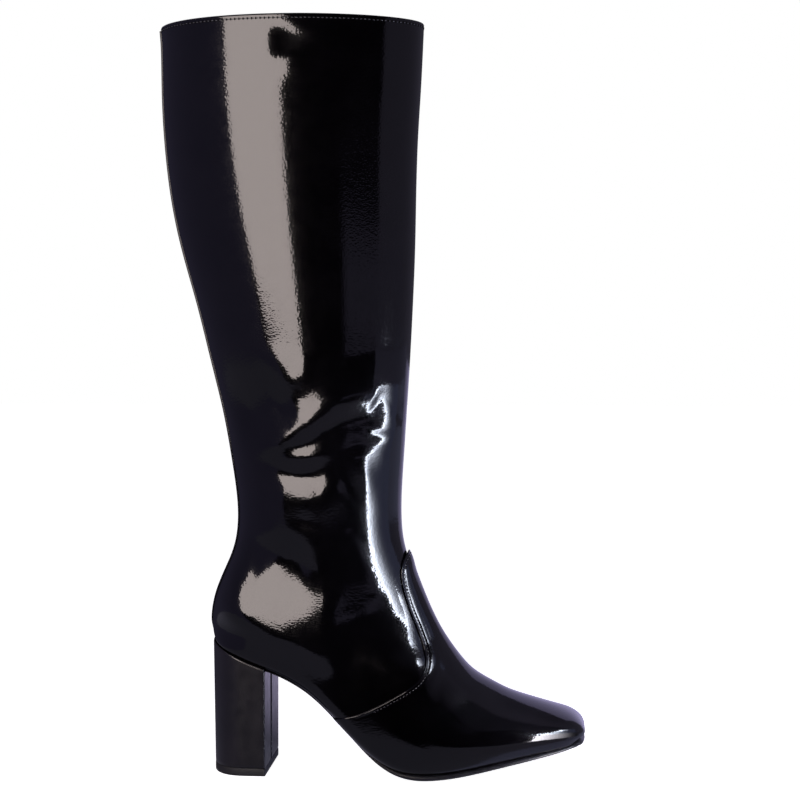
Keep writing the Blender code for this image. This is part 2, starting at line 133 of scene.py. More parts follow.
SOLE: tuple[SoleRow, ...] = tuple(SoleRow(*row) for row in (
    (-82.2, 25.5, 25.5, 1.6, 0.4, 1.4),
    (-66.0, 24.5, 23.5, 2.2, 0.4, 1.2),
    (-46.0, 25.0, 22.5, 2.7, 0.3, 1.2),
    (-26.0, 28.5, 25.5, 3.5, 0.1, 1.4),
    (-7.0, 33.6, 32.0, 5.1, -0.5, 1.7),
    (12.0, 37.2, 37.2, 6.6, -1.0, 2.1),
    (32.0, 37.6, 37.6, 6.6, -1.3, 2.1),
    (54.0, 35.4, 35.2, 5.9, -1.5, 1.6),
    (76.0, 31.6, 31.4, 5.6, -1.7, 1.4),
    (95.0, 27.8, 27.8, 5.2, -1.7, 1.2),
    (106.6, 24.2, 24.2, 4.9, -1.7, 1.0),
    (113.2, 20.4, 20.4, 4.6, -1.4, 0.9),
    (116.0, 15.6, 15.6, 4.5, -1.0, 0.8),
    (116.8, 10.0, 10.0, 4.5, -0.8, 0.6),
))


class SeamPoint(NamedTuple):
    """A point of the vamp's edge: angle down from the front ridge, and station."""

    angle: float
    station: float


SEAM: tuple[SeamPoint, ...] = tuple(SeamPoint(*pair) for pair in (
    (0.0, 11.76), (9.0, 11.9), (17.8, 12.2), (23.4, 12.6), (25.8, 13.0), (27.2, 13.44),
    (27.8, 13.96), (28.2, 14.53), (28.6, 15.17), (29.2, 15.86), (30.9, 16.56), (33.7, 17.27),
    (38.4, 17.91), (44.0, 18.52), (51.5, 19.0), (59.0, 19.35), (66.5, 19.53), (74.0, 19.65),
    (81.5, 19.74), (90.4, 19.82), (99.3, 19.88), (108.2, 19.9), (117.5, 19.9), (125.5, 19.86),
    (132.0, 19.83), (140.0, 19.8),
))


class Fold(NamedTuple):
    """A soft ridge or trough in the leather, drawn on the side view of the boot.

    The points are (x, z) along it. Left and right are its widths on either side, seen along
    it from the first point, rise is its height, and starts and ends are the shares of its
    length over which it fades in and out.
    """

    points: tuple[tuple[float, float], ...]
    left: float
    right: float
    rise: float
    starts: float
    ends: float


FOLDS: tuple[Fold, ...] = tuple(Fold(*row) for row in (
    # Broad forms of the counter and of the ankle's outer side.
    (((-132.5, 93.5), (-85.8, 85.9), (-49.1, 82.7), (-23.6, 80.1)), 25.6, 16.9, 3.45, 0.10, 0.23),
    (((-97.5, 67.2), (-99.6, 95.1), (-102.7, 149.2)), 29.0, 21.9, 3.30, 0.38, 0.36),
    (((-46.8, 82.8), (-43.3, 110.5), (-34.8, 133.9)), 18.7, 11.1, 1.36, 0.60, 0.70),
    (((-102.5, 141.2), (-75.4, 140.2), (-70.4, 137.7), (-48.7, 142.3)),
     11.4, 25.6, -2.40, 0.26, 0.31),
    # Folds across the front of the ankle, from the lowest up.
    (((-84.0, 176.5), (-54.4, 174.7), (-29.6, 187.8)), 9.2, 14.6, 0.90, 0.24, 0.18),
    (((-25.7, 212.0), (-19.2, 187.5), (-22.0, 168.6)), 6.5, 10.6, 1.29, 0.22, 0.70),
    (((-93.5, 203.0), (-60.0, 191.7), (-34.7, 197.4)), 5.8, 6.0, -1.30, 0.66, 0.63),
    (((-72.4, 202.8), (-68.4, 203.2), (-50.5, 205.3), (-23.1, 209.0)), 4.5, 4.3, 0.50, 0.21, 0.62),
    (((-72.2, 206.2), (-54.2, 213.3), (-47.2, 220.1), (-40.2, 221.8), (-25.1, 226.3),
      (-2.9, 229.9)), 8.8, 6.6, -0.69, 0.25, 0.16),
    (((-71.4, 211.7), (-65.4, 215.7), (-61.6, 218.3), (-50.5, 225.7), (-45.5, 229.3),
      (-36.2, 236.5), (-19.1, 237.1)), 8.8, 7.1, 1.42, 0.32, 0.29),
    # Hollow behind them, and the pockets at the front of the shaft.
    (((-106.7, 219.5), (-80.8, 233.1), (-61.9, 242.7)), 25.8, 14.5, -2.28, 0.38, 0.32),
    (((-8.4, 243.8), (-4.7, 240.2), (0.5, 232.2), (7.3, 224.4), (9.7, 216.4), (22.3, 203.8)),
     7.6, 11.3, 0.46, 0.35, 0.13),
    (((-26.0, 224.6), (-13.2, 220.2), (-1.9, 216.8), (5.8, 214.2)), 5.3, 19.1, 0.37, 0.34, 0.32),
    # Finer ridges and troughs that run between these folds.
    (((-37.6, 138.0), (-69.5, 135.8), (-106.1, 129.2)), 26.5, 9.3, -0.93, 0.35, 0.14),
    (((-39.8, 131.8), (-67.0, 176.0), (-77.5, 186.3)), 5.2, 7.0, -0.16, 0.21, 0.23),
    (((-96.3, 209.3), (-72.2, 214.5), (-55.6, 220.9)), 7.5, 7.5, 0.89, 0.47, 0.39),
    (((-51.5, 204.0), (-49.9, 184.4), (-55.7, 155.4)), 6.2, 11.6, -0.45, 0.19, 0.18),
    (((-20.1, 226.3), (-16.0, 238.7), (-8.9, 255.4)), 40.0, 3.2, 0.99, 0.54, 0.68),
    (((-32.3, 158.8), (-19.1, 135.2), (-11.8, 113.0)), 3.7, 5.9, 0.22, 0.09, 0.13),
    (((-64.8, 231.6), (-46.3, 242.6), (-16.1, 263.8)), 3.8, 22.2, 0.12, 0.08, 0.31),
    (((-37.4, 136.6), (-51.0, 140.0), (-69.9, 141.7)), 6.8, 14.1, 0.46, 0.32, 0.25),
    (((-22.9, 238.1), (-7.6, 237.2), (6.6, 216.4)), 8.0, 6.4, -0.50, 0.20, 0.49),
    (((-14.2, 245.4), (-5.4, 234.0), (-4.2, 229.4), (3.3, 218.4)), 2.4, 3.7, 0.22, 0.29, 0.15),
    (((-23.1, 226.2), (-16.8, 218.0), (-8.6, 215.5), (-2.7, 212.3)), 4.3, 3.5, -0.58, 0.61, 0.47),
    # Ridge round the lower end of the calf's smooth part.
    (((-74.0, 279.0), (-71.5, 267.0), (-68.5, 258.0), (-63.7, 252.5), (-58.7, 255.6),
      (-56.7, 264.0), (-56.5, 276.0)), 5.0, 6.0, 0.40, 0.35, 0.35),
    # Dent below the collar, with a swelling under it and one over it.
    (((-63.0, 473.0), (-65.0, 461.0), (-63.0, 449.0)), 17.0, 10.0, -1.0, 0.35, 0.35),
    (((-60.0, 458.0), (-61.0, 449.0), (-62.0, 434.0)), 14.0, 9.0, 0.4, 0.40, 0.50),
    (((-60.0, 488.0), (-60.0, 477.0), (-61.0, 466.0)), 14.0, 9.0, 0.2, 0.20, 0.40),
))


def to_row(points: np.ndarray) -> np.ndarray:
    """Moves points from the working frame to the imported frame.

    Args:
        points: Points in millimetres, last axis x, y, z.

    Returns:
        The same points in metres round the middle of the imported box.
    """
    return (np.asarray(points, float) - (CENTRE_X, CENTRE_Y, 0.0)) * MM


def smooth(value: np.ndarray, low: float, high: float) -> np.ndarray:
    """Eases a value from 0 at low to 1 at high.

    Args:
        value: Values to ease.
        low: Where the result is 0.
        high: Where the result is 1.

    Returns:
        The eased values.
    """
    share = np.clip((np.asarray(value, float) - low) / (high - low), 0.0, 1.0)
    return share * share * (3.0 - 2.0 * share)


def plateau(value: np.ndarray, span: Sequence[float]) -> np.ndarray:
    """Returns 1 between the second and third number of a span, easing to 0 outside it."""
    return smooth(value, span[0], span[1]) * (1.0 - smooth(value, span[2], span[3]))


def lengths(line: np.ndarray) -> np.ndarray:
    """Returns how far along a line of points each point is."""
    return np.concatenate(([0.0], np.cumsum(np.linalg.norm(np.diff(line, axis=0), axis=1))))


def superellipse(c: np.ndarray, s: np.ndarray, power: np.ndarray | float) -> np.ndarray:
    """Returns the reach of a superellipse in the directions with cosine c and sine s."""
    return (np.abs(c) ** power + np.abs(s) ** power) ** (-1.0 / power)


def runs(parts: Sequence[tuple[float, float, int]]) -> np.ndarray:
    """Joins evenly spaced runs of numbers.

    Args:
        parts: (first, last, steps) of runs that follow each other.

    Returns:
        All the numbers, with the last end.
    """
    pieces = [np.linspace(first, last, steps, endpoint=False) for first, last, steps in parts]
    return np.concatenate(pieces + [np.array([parts[-1][1]])])


def spread(table: Sequence[NamedTuple], x: np.ndarray, column: str) -> np.ndarray:
    """Reads a table's column as a smooth function of x.

    Args:
        table: Rows with an x column.
        x: Places to read at.
        column: Name of the column.

    Returns:
        The values at x.
    """
    keys = np.array([row.x for row in table])
    values = np.array([getattr(row, column) for row in table])
    slope = np.gradient(values, keys)
    i = np.clip(np.searchsorted(keys, x) - 1, 0, len(keys) - 2)
    width = keys[i + 1] - keys[i]
    b = (x - keys[i]) / width
    low = values[i] * (1 + 2 * b) * (1 - b) ** 2 + slope[i] * width * b * (1 - b) ** 2
    high = values[i + 1] * b ** 2 * (3 - 2 * b) + slope[i + 1] * width * b ** 2 * (b - 1)
    return low + high


def sample(line: np.ndarray, run: np.ndarray, at: np.ndarray) -> np.ndarray:
    """Reads the columns of a line, known at the places run, at other places along it."""
    return np.stack([np.interp(at, run, column) for column in line.T], axis=-1)


def show(name: str, data: bpy.types.ID) -> bpy.types.Object:
    """Adds an object to the scene.

    Args:
        name: Its name.
        data: Its mesh or camera.

    Returns:
        The object, at the origin.
    """
    thing = bpy.data.objects.new(name, data)
    bpy.context.scene.collection.objects.link(thing)
    return thing


def fill(tree: bpy.types.NodeTree, node: bpy.types.Node, inputs: dict[str | int, Any]) -> None:
    """Sets inputs of a node.

    Args:
        tree: The nodes.
        node: The node.
        inputs: Values by the inputs' names or numbers; a socket is linked.
    """
    for key, value in inputs.items():
        if isinstance(value, bpy.types.NodeSocket):
            tree.links.new(value, node.inputs[key])
        else:
            node.inputs[key].default_value = value


def add_node(
    tree: bpy.types.NodeTree, kind: str, inputs: dict[str | int, Any] | None = None, **options: Any
) -> bpy.types.Node:
    """Adds a node.

    Args:
        tree: The nodes.
        kind: The node's kind.
        inputs: Its inputs, as in fill.
        options: Its settings, which come before the inputs.

    Returns:
        The node.
    """
    node = tree.nodes.new(kind)
    for key, value in options.items():
        setattr(node, key, value)
    fill(tree, node, inputs or {})
    return node


def math_node(tree: bpy.types.NodeTree, how: str, *values: Any) -> bpy.types.NodeSocket:
    """Adds a math node with an operation and its values, and returns its result."""
    node = add_node(tree, "ShaderNodeMath", dict(enumerate(values)), operation=how)
    return node.outputs["Value"]


class Last:
    """The surface that the upper is lofted on, and the layers at a distance from it."""

    collar_bow: float = 1.0
    bow_fade: float = 0.5
    toe_line_x: float = 106.0
    toe_slope_run: float = 4.0
    toe_round: float = 0.4
    toe_round_span: tuple[float, float] = (18.0, 23.0)
    feather: float = 5.0
    feather_span: tuple[float, float] = (17.0, 20.0)
    welt: float = 2.2
    welt_turn: tuple[float, ...] = (96.0, 130.0, 142.0, 168.0)
    welt_span: tuple[float, ...] = (18.6, 21.0, 27.6, 29.4)
    seat_station: float = 16.0
    # The folds stay off the ridges of front and back, and above the seat's line (x, z).
    outer_turn: tuple[float, ...] = (178.0, 196.0, 308.0, 346.0)
    inner_turn: tuple[float, ...] = (14.0, 52.0, 164.0, 182.0)
    inner_rise: float = 0.6
    inner_shift: float = 7.0
    seat_clear: tuple[float, float] = (-3.0, 24.0)
    seat_line: tuple[tuple[float, float], ...] = (
        (-121.0, 97.0), (-105.0, 87.0), (-83.0, 75.0), (-55.0, 60.0), (0.0, 20.0))
    fold_reach: float = 3.0
    station_step: float = 0.02
    angle_step: float = 0.5
    fine: int = 1441
    under_points: int = 700

    def __init__(self, sections: Sequence[Section], folds: Sequence[Fold]) -> None:
        """Prepares the splines through the sections and the lines of the folds.

        Args:
            sections: The rows of the loft, collar first.
            folds: Ridges and troughs of the leather.
        """
        self.data = np.asarray(sections, float)
        self.end = len(sections) - 1
        count = len(self.data)
        matrix = np.zeros((count, count))
        right = np.zeros_like(self.data)
        matrix[0, 0] = matrix[-1, -1] = 1.0
        for i in range(1, count - 1):
            matrix[i, i - 1:i + 2] = (1.0, 4.0, 1.0)
            right[i] = 6.0 * (self.data[i - 1] - 2.0 * self.data[i] + self.data[i + 1])
        self.bend = np.linalg.solve(matrix, right)
        self.folds = [(fold, self.draw(fold.points)) for fold in folds]

    @staticmethod
    def draw(points: Sequence[tuple[float, float]], steps: int = 14) -> np.ndarray:
        """Draws a smooth line through points.

        Args:
            points: Points that the line passes.
            steps: Pieces between two points.

        Returns:
            Points along the line.
        """
        p = np.asarray(points, float)
        p = np.vstack((2 * p[0] - p[1], p, 2 * p[-1] - p[-2]))
        s = np.linspace(0.0, 1.0, steps, endpoint=False)[:, None]
        out = []
        for a, b, c, d in zip(p[:-3], p[1:-2], p[2:-1], p[3:]):
            bend = (2 * a - 5 * b + 4 * c - d) * s ** 2 + (3 * b - a - 3 * c + d) * s ** 3
            out.append(0.5 * (2 * b + (c - a) * s + bend))
        return np.vstack(out + [p[-2:-1]])

    def row(self, t: np.ndarray) -> np.ndarray:
        """Returns the section's values at stations t, on a last axis."""
        station = np.asarray(t, float)
        i = np.clip(np.floor(station).astype(int), 0, self.end - 1)
        b = (station - i)[..., None]
        a = 1.0 - b
        curve = (a ** 3 - a) * self.bend[i] + (b ** 3 - b) * self.bend[i + 1]
        return a * self.data[i] + b * self.data[i + 1] + curve / 6.0

    def value(self, t: np.ndarray, column: str) -> np.ndarray:
        """Returns one column of the section's values at stations t."""
        return self.row(t)[..., Section._fields.index(column)]

    def surface(self, t: np.ndarray, angle: np.ndarray) -> np.ndarray:
        """Returns points of the plain surface.

        Args:
            t: Stations, 0 at the collar to the last section at the toe.
            angle: Degrees round the section, 0 at the back, 90 inside, 180 in front.

        Returns:
            Points in millimetres on a last axis.
        """
        t, angle = np.broadcast_arrays(np.asarray(t, float), np.asarray(angle, float))
        fx, fz, bx, bz, lateral, medial, swing, back, front, low = np.moveaxis(self.row(t), -1, 0)
        turn = np.radians(angle - 90.0)
        c, s = np.cos(turn), np.sin(turn)
        back = back + self.feather * smooth(t, *self.feather_span)
        share = smooth(0.5 + 0.5 * s + self.toe_round * smooth(t, *self.toe_round_span), 0.0, 1.0)
        reach = superellipse(c, s, back + (front - back) * share)
        along = s * reach
        along = along - low * (1.0 - along * along)
        x = 0.5 * (fx + bx) + 0.5 * (fx - bx) * along
        z = 0.5 * (fz + bz) + 0.5 * (fz - bz) * along
        bow = self.collar_bow * (1.0 - along * along)
        z = z + bow * np.clip(1.0 - self.bow_fade * t, 0.0, 1.0) ** 2
        y = swing + np.where(c > 0.0, medial, lateral) * c * reach
        away = np.abs(angle % 360.0 - 180.0)
        z = z - self.welt * plateau(away, self.welt_turn) * plateau(t, self.welt_span)
        return np.stack((x, y, z), axis=-1)

    def normal(self, t: np.ndarray, angle: np.ndarray) -> np.ndarray:
        """Returns the outward directions of the plain surface; arguments as in surface."""
        t, angle = np.broadcast_arrays(np.asarray(t, float), np.asarray(angle, float))
        ahead = np.clip(t + self.station_step, 0.0, self.end)
        behind = np.clip(t - self.station_step, 0.0, self.end)
        along = self.surface(ahead, angle) - self.surface(behind, angle)
        turn = self.surface(t, angle + self.angle_step) - self.surface(t, angle - self.angle_step)
        normal = np.cross(turn, along)
        return normal / np.linalg.norm(normal, axis=-1, keepdims=True)

    def relief(self, points: np.ndarray, angle: np.ndarray) -> np.ndarray:
        """Returns how far the folds lift the leather at points of the plain surface.

        Args:
            points: Points of the surface.
            angle: Their angles round the section.

        Returns:
            Heights in millimetres.
        """
        angle = np.broadcast_to(np.asarray(angle, float), points.shape[:-1]) % 360.0
        edge = np.interp(points[..., 0], *np.transpose(self.seat_line))
        total = np.zeros(points.shape[:-1])
        outer = (self.outer_turn, 1.0, 0.0)
        inner = (self.inner_turn, self.inner_rise, self.inner_shift)
        for span, rise, shift in (outer, inner):
            weight = rise * plateau(angle, span)
            place = points[..., (0, 2)] + (0.0, shift)
            for fold, line in self.folds:
                total += weight * self.bump(place, fold, line)
        return total * smooth(points[..., 2] - edge, *self.seat_clear)

    def bump(self, place: np.ndarray, fold: Fold, line: np.ndarray) -> np.ndarray:
        """Returns the height of one fold at places on the side view.

        Args:
            place: (x, z) on a last axis.
            fold: The fold.
            line: Points along it.

        Returns:
            Heights in millimetres.
        """
        reach = self.fold_reach * max(fold.left, fold.right)
        low, high = line.min(axis=0) - reach, line.max(axis=0) + reach
        near = ((place > low) & (place < high)).all(axis=-1)
        height = np.zeros(place.shape[:-1])
        p = place[near]
        best = np.full(len(p), np.inf)
        side = np.zeros(len(p))
        share = np.zeros(len(p))
        run = lengths(line)
        for k, (a, b) in enumerate(zip(line[:-1], line[1:])):
            d = b - a
            s = np.clip(((p - a) @ d) / (d @ d), 0.0, 1.0)
            away = p - (a + s[:, None] * d)
            far = np.hypot(away[:, 0], away[:, 1])
            closer = far < best
            best = np.where(closer, far, best)
            cross = d[0] * away[:, 1] - d[1] * away[:, 0]
            side = np.where(closer, np.sign(cross), side)
            share = np.where(closer, (run[k] + s * (run[k + 1] - run[k])) / run[-1], share)
        width = np.where(side >= 0.0, fold.left, fold.right)
        fade = plateau(share, (0.0, fold.starts, 1.0 - fold.ends, 1.0))
        height[near] = fold.rise * fade * np.exp(-(best / width) ** 2)
        return height

    def skin(self, t: np.ndarray, angle: np.ndarray, depth: np.ndarray | float) -> np.ndarray:
        """Returns points of a layer of the folded leather.

        Args:
            t: Stations.
            angle: Degrees round the section.
            depth: Distance outside the leather's face.

        Returns:
            Points in millimetres.
        """
        t, angle = np.broadcast_arrays(np.asarray(t, float), np.asarray(angle, float))
        points = self.surface(t, angle)
        lift = self.relief(points, angle) + np.broadcast_to(depth, t.shape)
        return points + self.normal(t, angle) * lift[..., None]

    def plain(self, t: np.ndarray, angle: np.ndarray, depth: np.ndarray | float) -> np.ndarray:
        """Returns points of a layer without the folds; the arguments are as in skin."""
        t, angle = np.broadcast_arrays(np.asarray(t, float), np.asarray(angle, float))
        lift = np.broadcast_to(depth, t.shape)
        return self.surface(t, angle) + self.normal(t, angle) * lift[..., None]

    def ring(self, columns: int, station: float = 8.5) -> np.ndarray:
        """Returns angles that stand evenly along a section, without the closing one."""
        angle = np.linspace(0.0, 360.0, self.fine)
        run = lengths(self.surface(np.full_like(angle, station), angle))
        return np.interp(np.arange(columns) * run[-1] / columns, run, angle)

    def under(self, x: np.ndarray, column: str) -> np.ndarray:
        """Returns a section value as a function of x along the underside, past the seat."""
        t = np.linspace(self.seat_station, self.end, self.under_points)
        return np.interp(x, self.value(t, "back_x"), self.value(t, column))

    def sole_line(self, x: np.ndarray) -> np.ndarray:
        """Returns the height of the line that the sole follows at x, straight past the toe line."""
        ends = self.under(np.array([self.toe_line_x - self.toe_slope_run, self.toe_line_x]), "back_z")
        slope = (ends[1] - ends[0]) / self.toe_slope_run
        straight = slope * np.maximum(x - self.toe_line_x, 0.0)
        return self.under(np.minimum(x, self.toe_line_x), "back_z") + straight


class Draft:
    """Collects points and faces of one piece and makes its mesh."""

    def __init__(self) -> None:
        """Starts with nothing."""
        self.points: list[np.ndarray] = []
        self.faces: list[list[int]] = []
        self.count = 0

    def grid(self, block: np.ndarray) -> np.ndarray:
        """Adds a block of points.

        Args:
            block: Points in rows and columns.

        Returns:
            Their indices in the same arrangement.
        """
        block = np.asarray(block, float)
        first = self.count
        self.points.append(block.reshape(-1, 3))
        self.count += block.shape[0] * block.shape[1]
        return first + np.arange(block.shape[0] * block.shape[1]).reshape(block.shape[:2])

    def quads(self, index: np.ndarray, closed: bool = False) -> None:
        """Adds the faces of a block of indices.

        Args:
            index: Indices in rows and columns.
            closed: Whether the last column meets the first.
        """
        if closed:
            index = np.hstack((index, index[:, :1]))
        a, b = index[:-1, :-1], index[:-1, 1:]
        c, d = index[1:, 1:], index[1:, :-1]
        self.faces.extend(np.stack((a, b, c, d), axis=-1).reshape(-1, 4).tolist())

    def fan(self, ring: np.ndarray, centre: Sequence[float]) -> None:
        """Closes a ring of indices to a point in its middle."""
        middle = int(self.grid(np.array([[centre]]))[0, 0])
        ring = list(int(v) for v in ring)
        for i, v in enumerate(ring):
            self.faces.append([ring[i - 1], v, middle])

    def across(self, row: np.ndarray) -> None:
        """Closes a row of indices across its middle, first end to last end."""
        ring = [int(v) for v in row]
        while len(ring) > 3:
            self.faces.append([ring[0], ring[1], ring[-2], ring[-1]])
            ring = ring[1:-1]
        if len(ring) == 3:
            self.faces.append(ring)

    def make(self, name: str, material: bpy.types.Material, sharp: float = 180.0) -> bpy.types.Object:
        """Makes the object.

        Args:
            name: Its name.
            material: Its finish.
            sharp: Edges that turn by more degrees than this stay sharp.

        Returns:
            The object, at the origin.
        """
        mesh = bpy.data.meshes.new(name)
        mesh.from_pydata(to_row(np.vstack(self.points)).tolist(), [], self.faces)
        work = bmesh.new()
        work.from_mesh(mesh)
        bmesh.ops.remove_doubles(work, verts=work.verts[:], dist=MERGE)
        bmesh.ops.recalc_face_normals(work, faces=work.faces[:])
        work.to_mesh(mesh)
        work.free()
        mesh.shade_smooth()
        if sharp < 180.0:
            mesh.set_sharp_from_angle(angle=math.radians(sharp))
        mesh.materials.append(material)
        return show(name, mesh)


class Grain(Enum):
    """What the small relief of a finish looks like."""

    LEATHER = "leather"
    WEAVE = "weave"
    PEBBLE = "pebble"
    TWIST = "twist"


@dataclass(frozen=True)
class Finish:
    """A finish with a fine relief, small changes of gloss and of colour."""

    name: str
    colour: Colour
    second: Colour
    roughness: tuple[float, float]
    grain: Grain
    grain_size: float
    grain_depth: float
    coat: float = 0.0
    coat_roughness: float = 0.03
    sheen: float = 0.0
    specular: float = 0.5
    grain_turn: float = 0.4
    grain_stretch: tuple[float, float, float] = (0.9, 1.0, 1.2)
    cell_smoothness: float = 0.6
    pebble_share: float = 1.6
    leather_share: float = 0.55
    soft_detail: float = 2.0
    band_share: float = 6.0
    weave_distortion: float = 0.4
    cloud: tuple[float, float] = (45.0, 3.0)
    cloud_range: tuple[float, float] = (0.35, 0.68)
    gloss: tuple[float, float] = (160.0, 4.0)
    gloss_range: tuple[float, float] = (0.3, 0.7)

    def material(self) -> bpy.types.Material:
        """Builds the material's nodes.

        Returns:
            The material.
        """
        material = bpy.data.materials.new(self.name)
        material.use_nodes = True
        tree = material.node_tree
        shader = tree.nodes["Principled BSDF"]
        place = add_node(tree, "ShaderNodeTexCoord").outputs["Object"]
        gloss = add_node(tree, "ShaderNodeMapRange", {
            "Value": self.noise(tree, place, *self.gloss),
            "From Min": self.gloss_range[0], "From Max": self.gloss_range[1],
            "To Min": self.roughness[0], "To Max": self.roughness[1]})
        bump = add_node(tree, "ShaderNodeBump", {
            "Distance": self.grain_depth * MM, "Strength": 1.0, "Height": self.relief(tree, place)})
        fill(tree, shader, {
            "Base Color": self.tint(tree, self.noise(tree, place, *self.cloud)),
            "Roughness": gloss.outputs["Result"],
            "Normal": bump.outputs["Normal"],
            "Coat Weight": self.coat,
            "Coat Roughness": self.coat_roughness,
            "Sheen Weight": self.sheen,
            "Specular IOR Level": self.specular})
        if self.coat > 0.0:
            fill(tree, shader, {"Coat Normal": bump.outputs["Normal"]})
        return material

    @staticmethod
    def noise(
        tree: bpy.types.NodeTree, place: bpy.types.NodeSocket, scale: float, detail: float
    ) -> bpy.types.NodeSocket:
        """Adds a noise with some waves a metre and octaves, and returns its value."""
        node = add_node(tree, "ShaderNodeTexNoise", {"Vector": place, "Scale": scale, "Detail": detail})
        return node.outputs["Fac"]

    def tint(self, tree: bpy.types.NodeTree, value: bpy.types.NodeSocket) -> bpy.types.NodeSocket:
        """Adds a ramp between the two colours.

        Args:
            tree: The material's nodes.
            value: What the ramp follows.

        Returns:
            The colour.
        """
        node = add_node(tree, "ShaderNodeValToRGB", {"Fac": value})
        stops = node.color_ramp.elements
        for stop, position, colour in zip(stops, self.cloud_range, (self.colour, self.second)):
            stop.position = position
            stop.color = (*colour, 1.0)
        return node.outputs["Color"]

    def relief(
        self, tree: bpy.types.NodeTree, place: bpy.types.NodeSocket
    ) -> bpy.types.NodeSocket:
        """Adds the nodes of the fine relief.

        Args:
            tree: The material's nodes.
            place: Coordinates to read.

        Returns:
            The height.
        """
        scale = 1.0 / (self.grain_size * MM)

        def bands(direction: str, distortion: float) -> bpy.types.NodeSocket:
            """Adds bands in a direction and returns their value."""
            inputs = {"Vector": place, "Scale": scale / self.band_share, "Distortion": distortion}
            return add_node(tree, "ShaderNodeTexWave", inputs, bands_direction=direction).outputs["Fac"]

        if self.grain is Grain.WEAVE:
            return math_node(tree, "MULTIPLY", *(bands(axis, self.weave_distortion) for axis in "XZ"))
        if self.grain is Grain.TWIST:
            return bands("DIAGONAL", 0.0)
        soft_share = self.pebble_share
        if self.grain is Grain.LEATHER:
            soft_share = self.leather_share
            place = add_node(tree, "ShaderNodeMapping", {
                "Vector": place, "Rotation": (0.0, self.grain_turn, 0.0),
                "Scale": self.grain_stretch}).outputs["Vector"]
        cells = add_node(tree, "ShaderNodeTexVoronoi", {
            "Vector": place, "Scale": scale, "Smoothness": self.cell_smoothness}, feature="SMOOTH_F1")
        soft = self.noise(tree, place, scale * soft_share, self.soft_detail)
        return math_node(tree, "ADD", cells.outputs["Distance"], soft)


PATENT = Finish("patent_leather", (0.0012, 0.0010, 0.0016), (0.0022, 0.0019, 0.0028), (0.12, 0.2),
                Grain.LEATHER, 1.3, 0.024, coat=1.0, coat_roughness=0.02, specular=0.12)
STRIP = Finish("strip_leather", (0.0012, 0.0010, 0.0016), (0.0024, 0.0021, 0.0030), (0.16, 0.26),
               Grain.LEATHER, 1.6, 0.03, coat=0.8, coat_roughness=0.06, specular=0.15)
LINING = Finish("lining_cloth", (0.05, 0.043, 0.04), (0.075, 0.064, 0.058), (0.75, 0.9),
                Grain.WEAVE, 0.9, 0.12, sheen=0.2)
SOCK = Finish("sock_leather", (0.11, 0.085, 0.062), (0.15, 0.118, 0.09), (0.55, 0.72),
              Grain.LEATHER, 1.4, 0.05)
SOLE_EDGE = Finish("sole", (0.012, 0.012, 0.016), (0.022, 0.022, 0.028), (0.3, 0.44),
                   Grain.PEBBLE, 0.9, 0.02, coat=0.4, coat_roughness=0.16)
HEEL_COVER = Finish("heel_leather", (0.004, 0.0033, 0.005), (0.008, 0.0065, 0.009), (0.30, 0.42),
                    Grain.LEATHER, 0.8, 0.016, coat=0.35, coat_roughness=0.16)
HEEL_RUBBER = Finish("heel_rubber", (0.012, 0.012, 0.013), (0.022, 0.022, 0.024), (0.5, 0.68),
                     Grain.PEBBLE, 0.6, 0.03)
THREAD = Finish("thread", (0.03, 0.03, 0.036), (0.05, 0.05, 0.058), (0.3, 0.42),
                Grain.TWIST, 0.5, 0.04, coat=1.0, coat_roughness=0.2)
# Matte black for the dots between stitches: painted shade of the needle holes, not a colour of the leather.
PINHOLE_SHADE = Finish("pinhole_shade", (0.001, 0.001, 0.0012), (0.002, 0.002, 0.0024), (0.8, 0.95),
                 Grain.PEBBLE, 0.3, 0.01, specular=0.1)


def carry(piece: bpy.types.Object, slot: str, *nodes: str) -> None:
    """Gives a finished piece to the frame and reports it.

    Args:
        piece: The piece.
        slot: Not used.
        nodes: Solids that it stands for.
    """
    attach(piece, BODY)
    if nodes:
        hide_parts(*nodes)
    LOG.info("%s: %d faces", piece.name, len(piece.data.polygons))


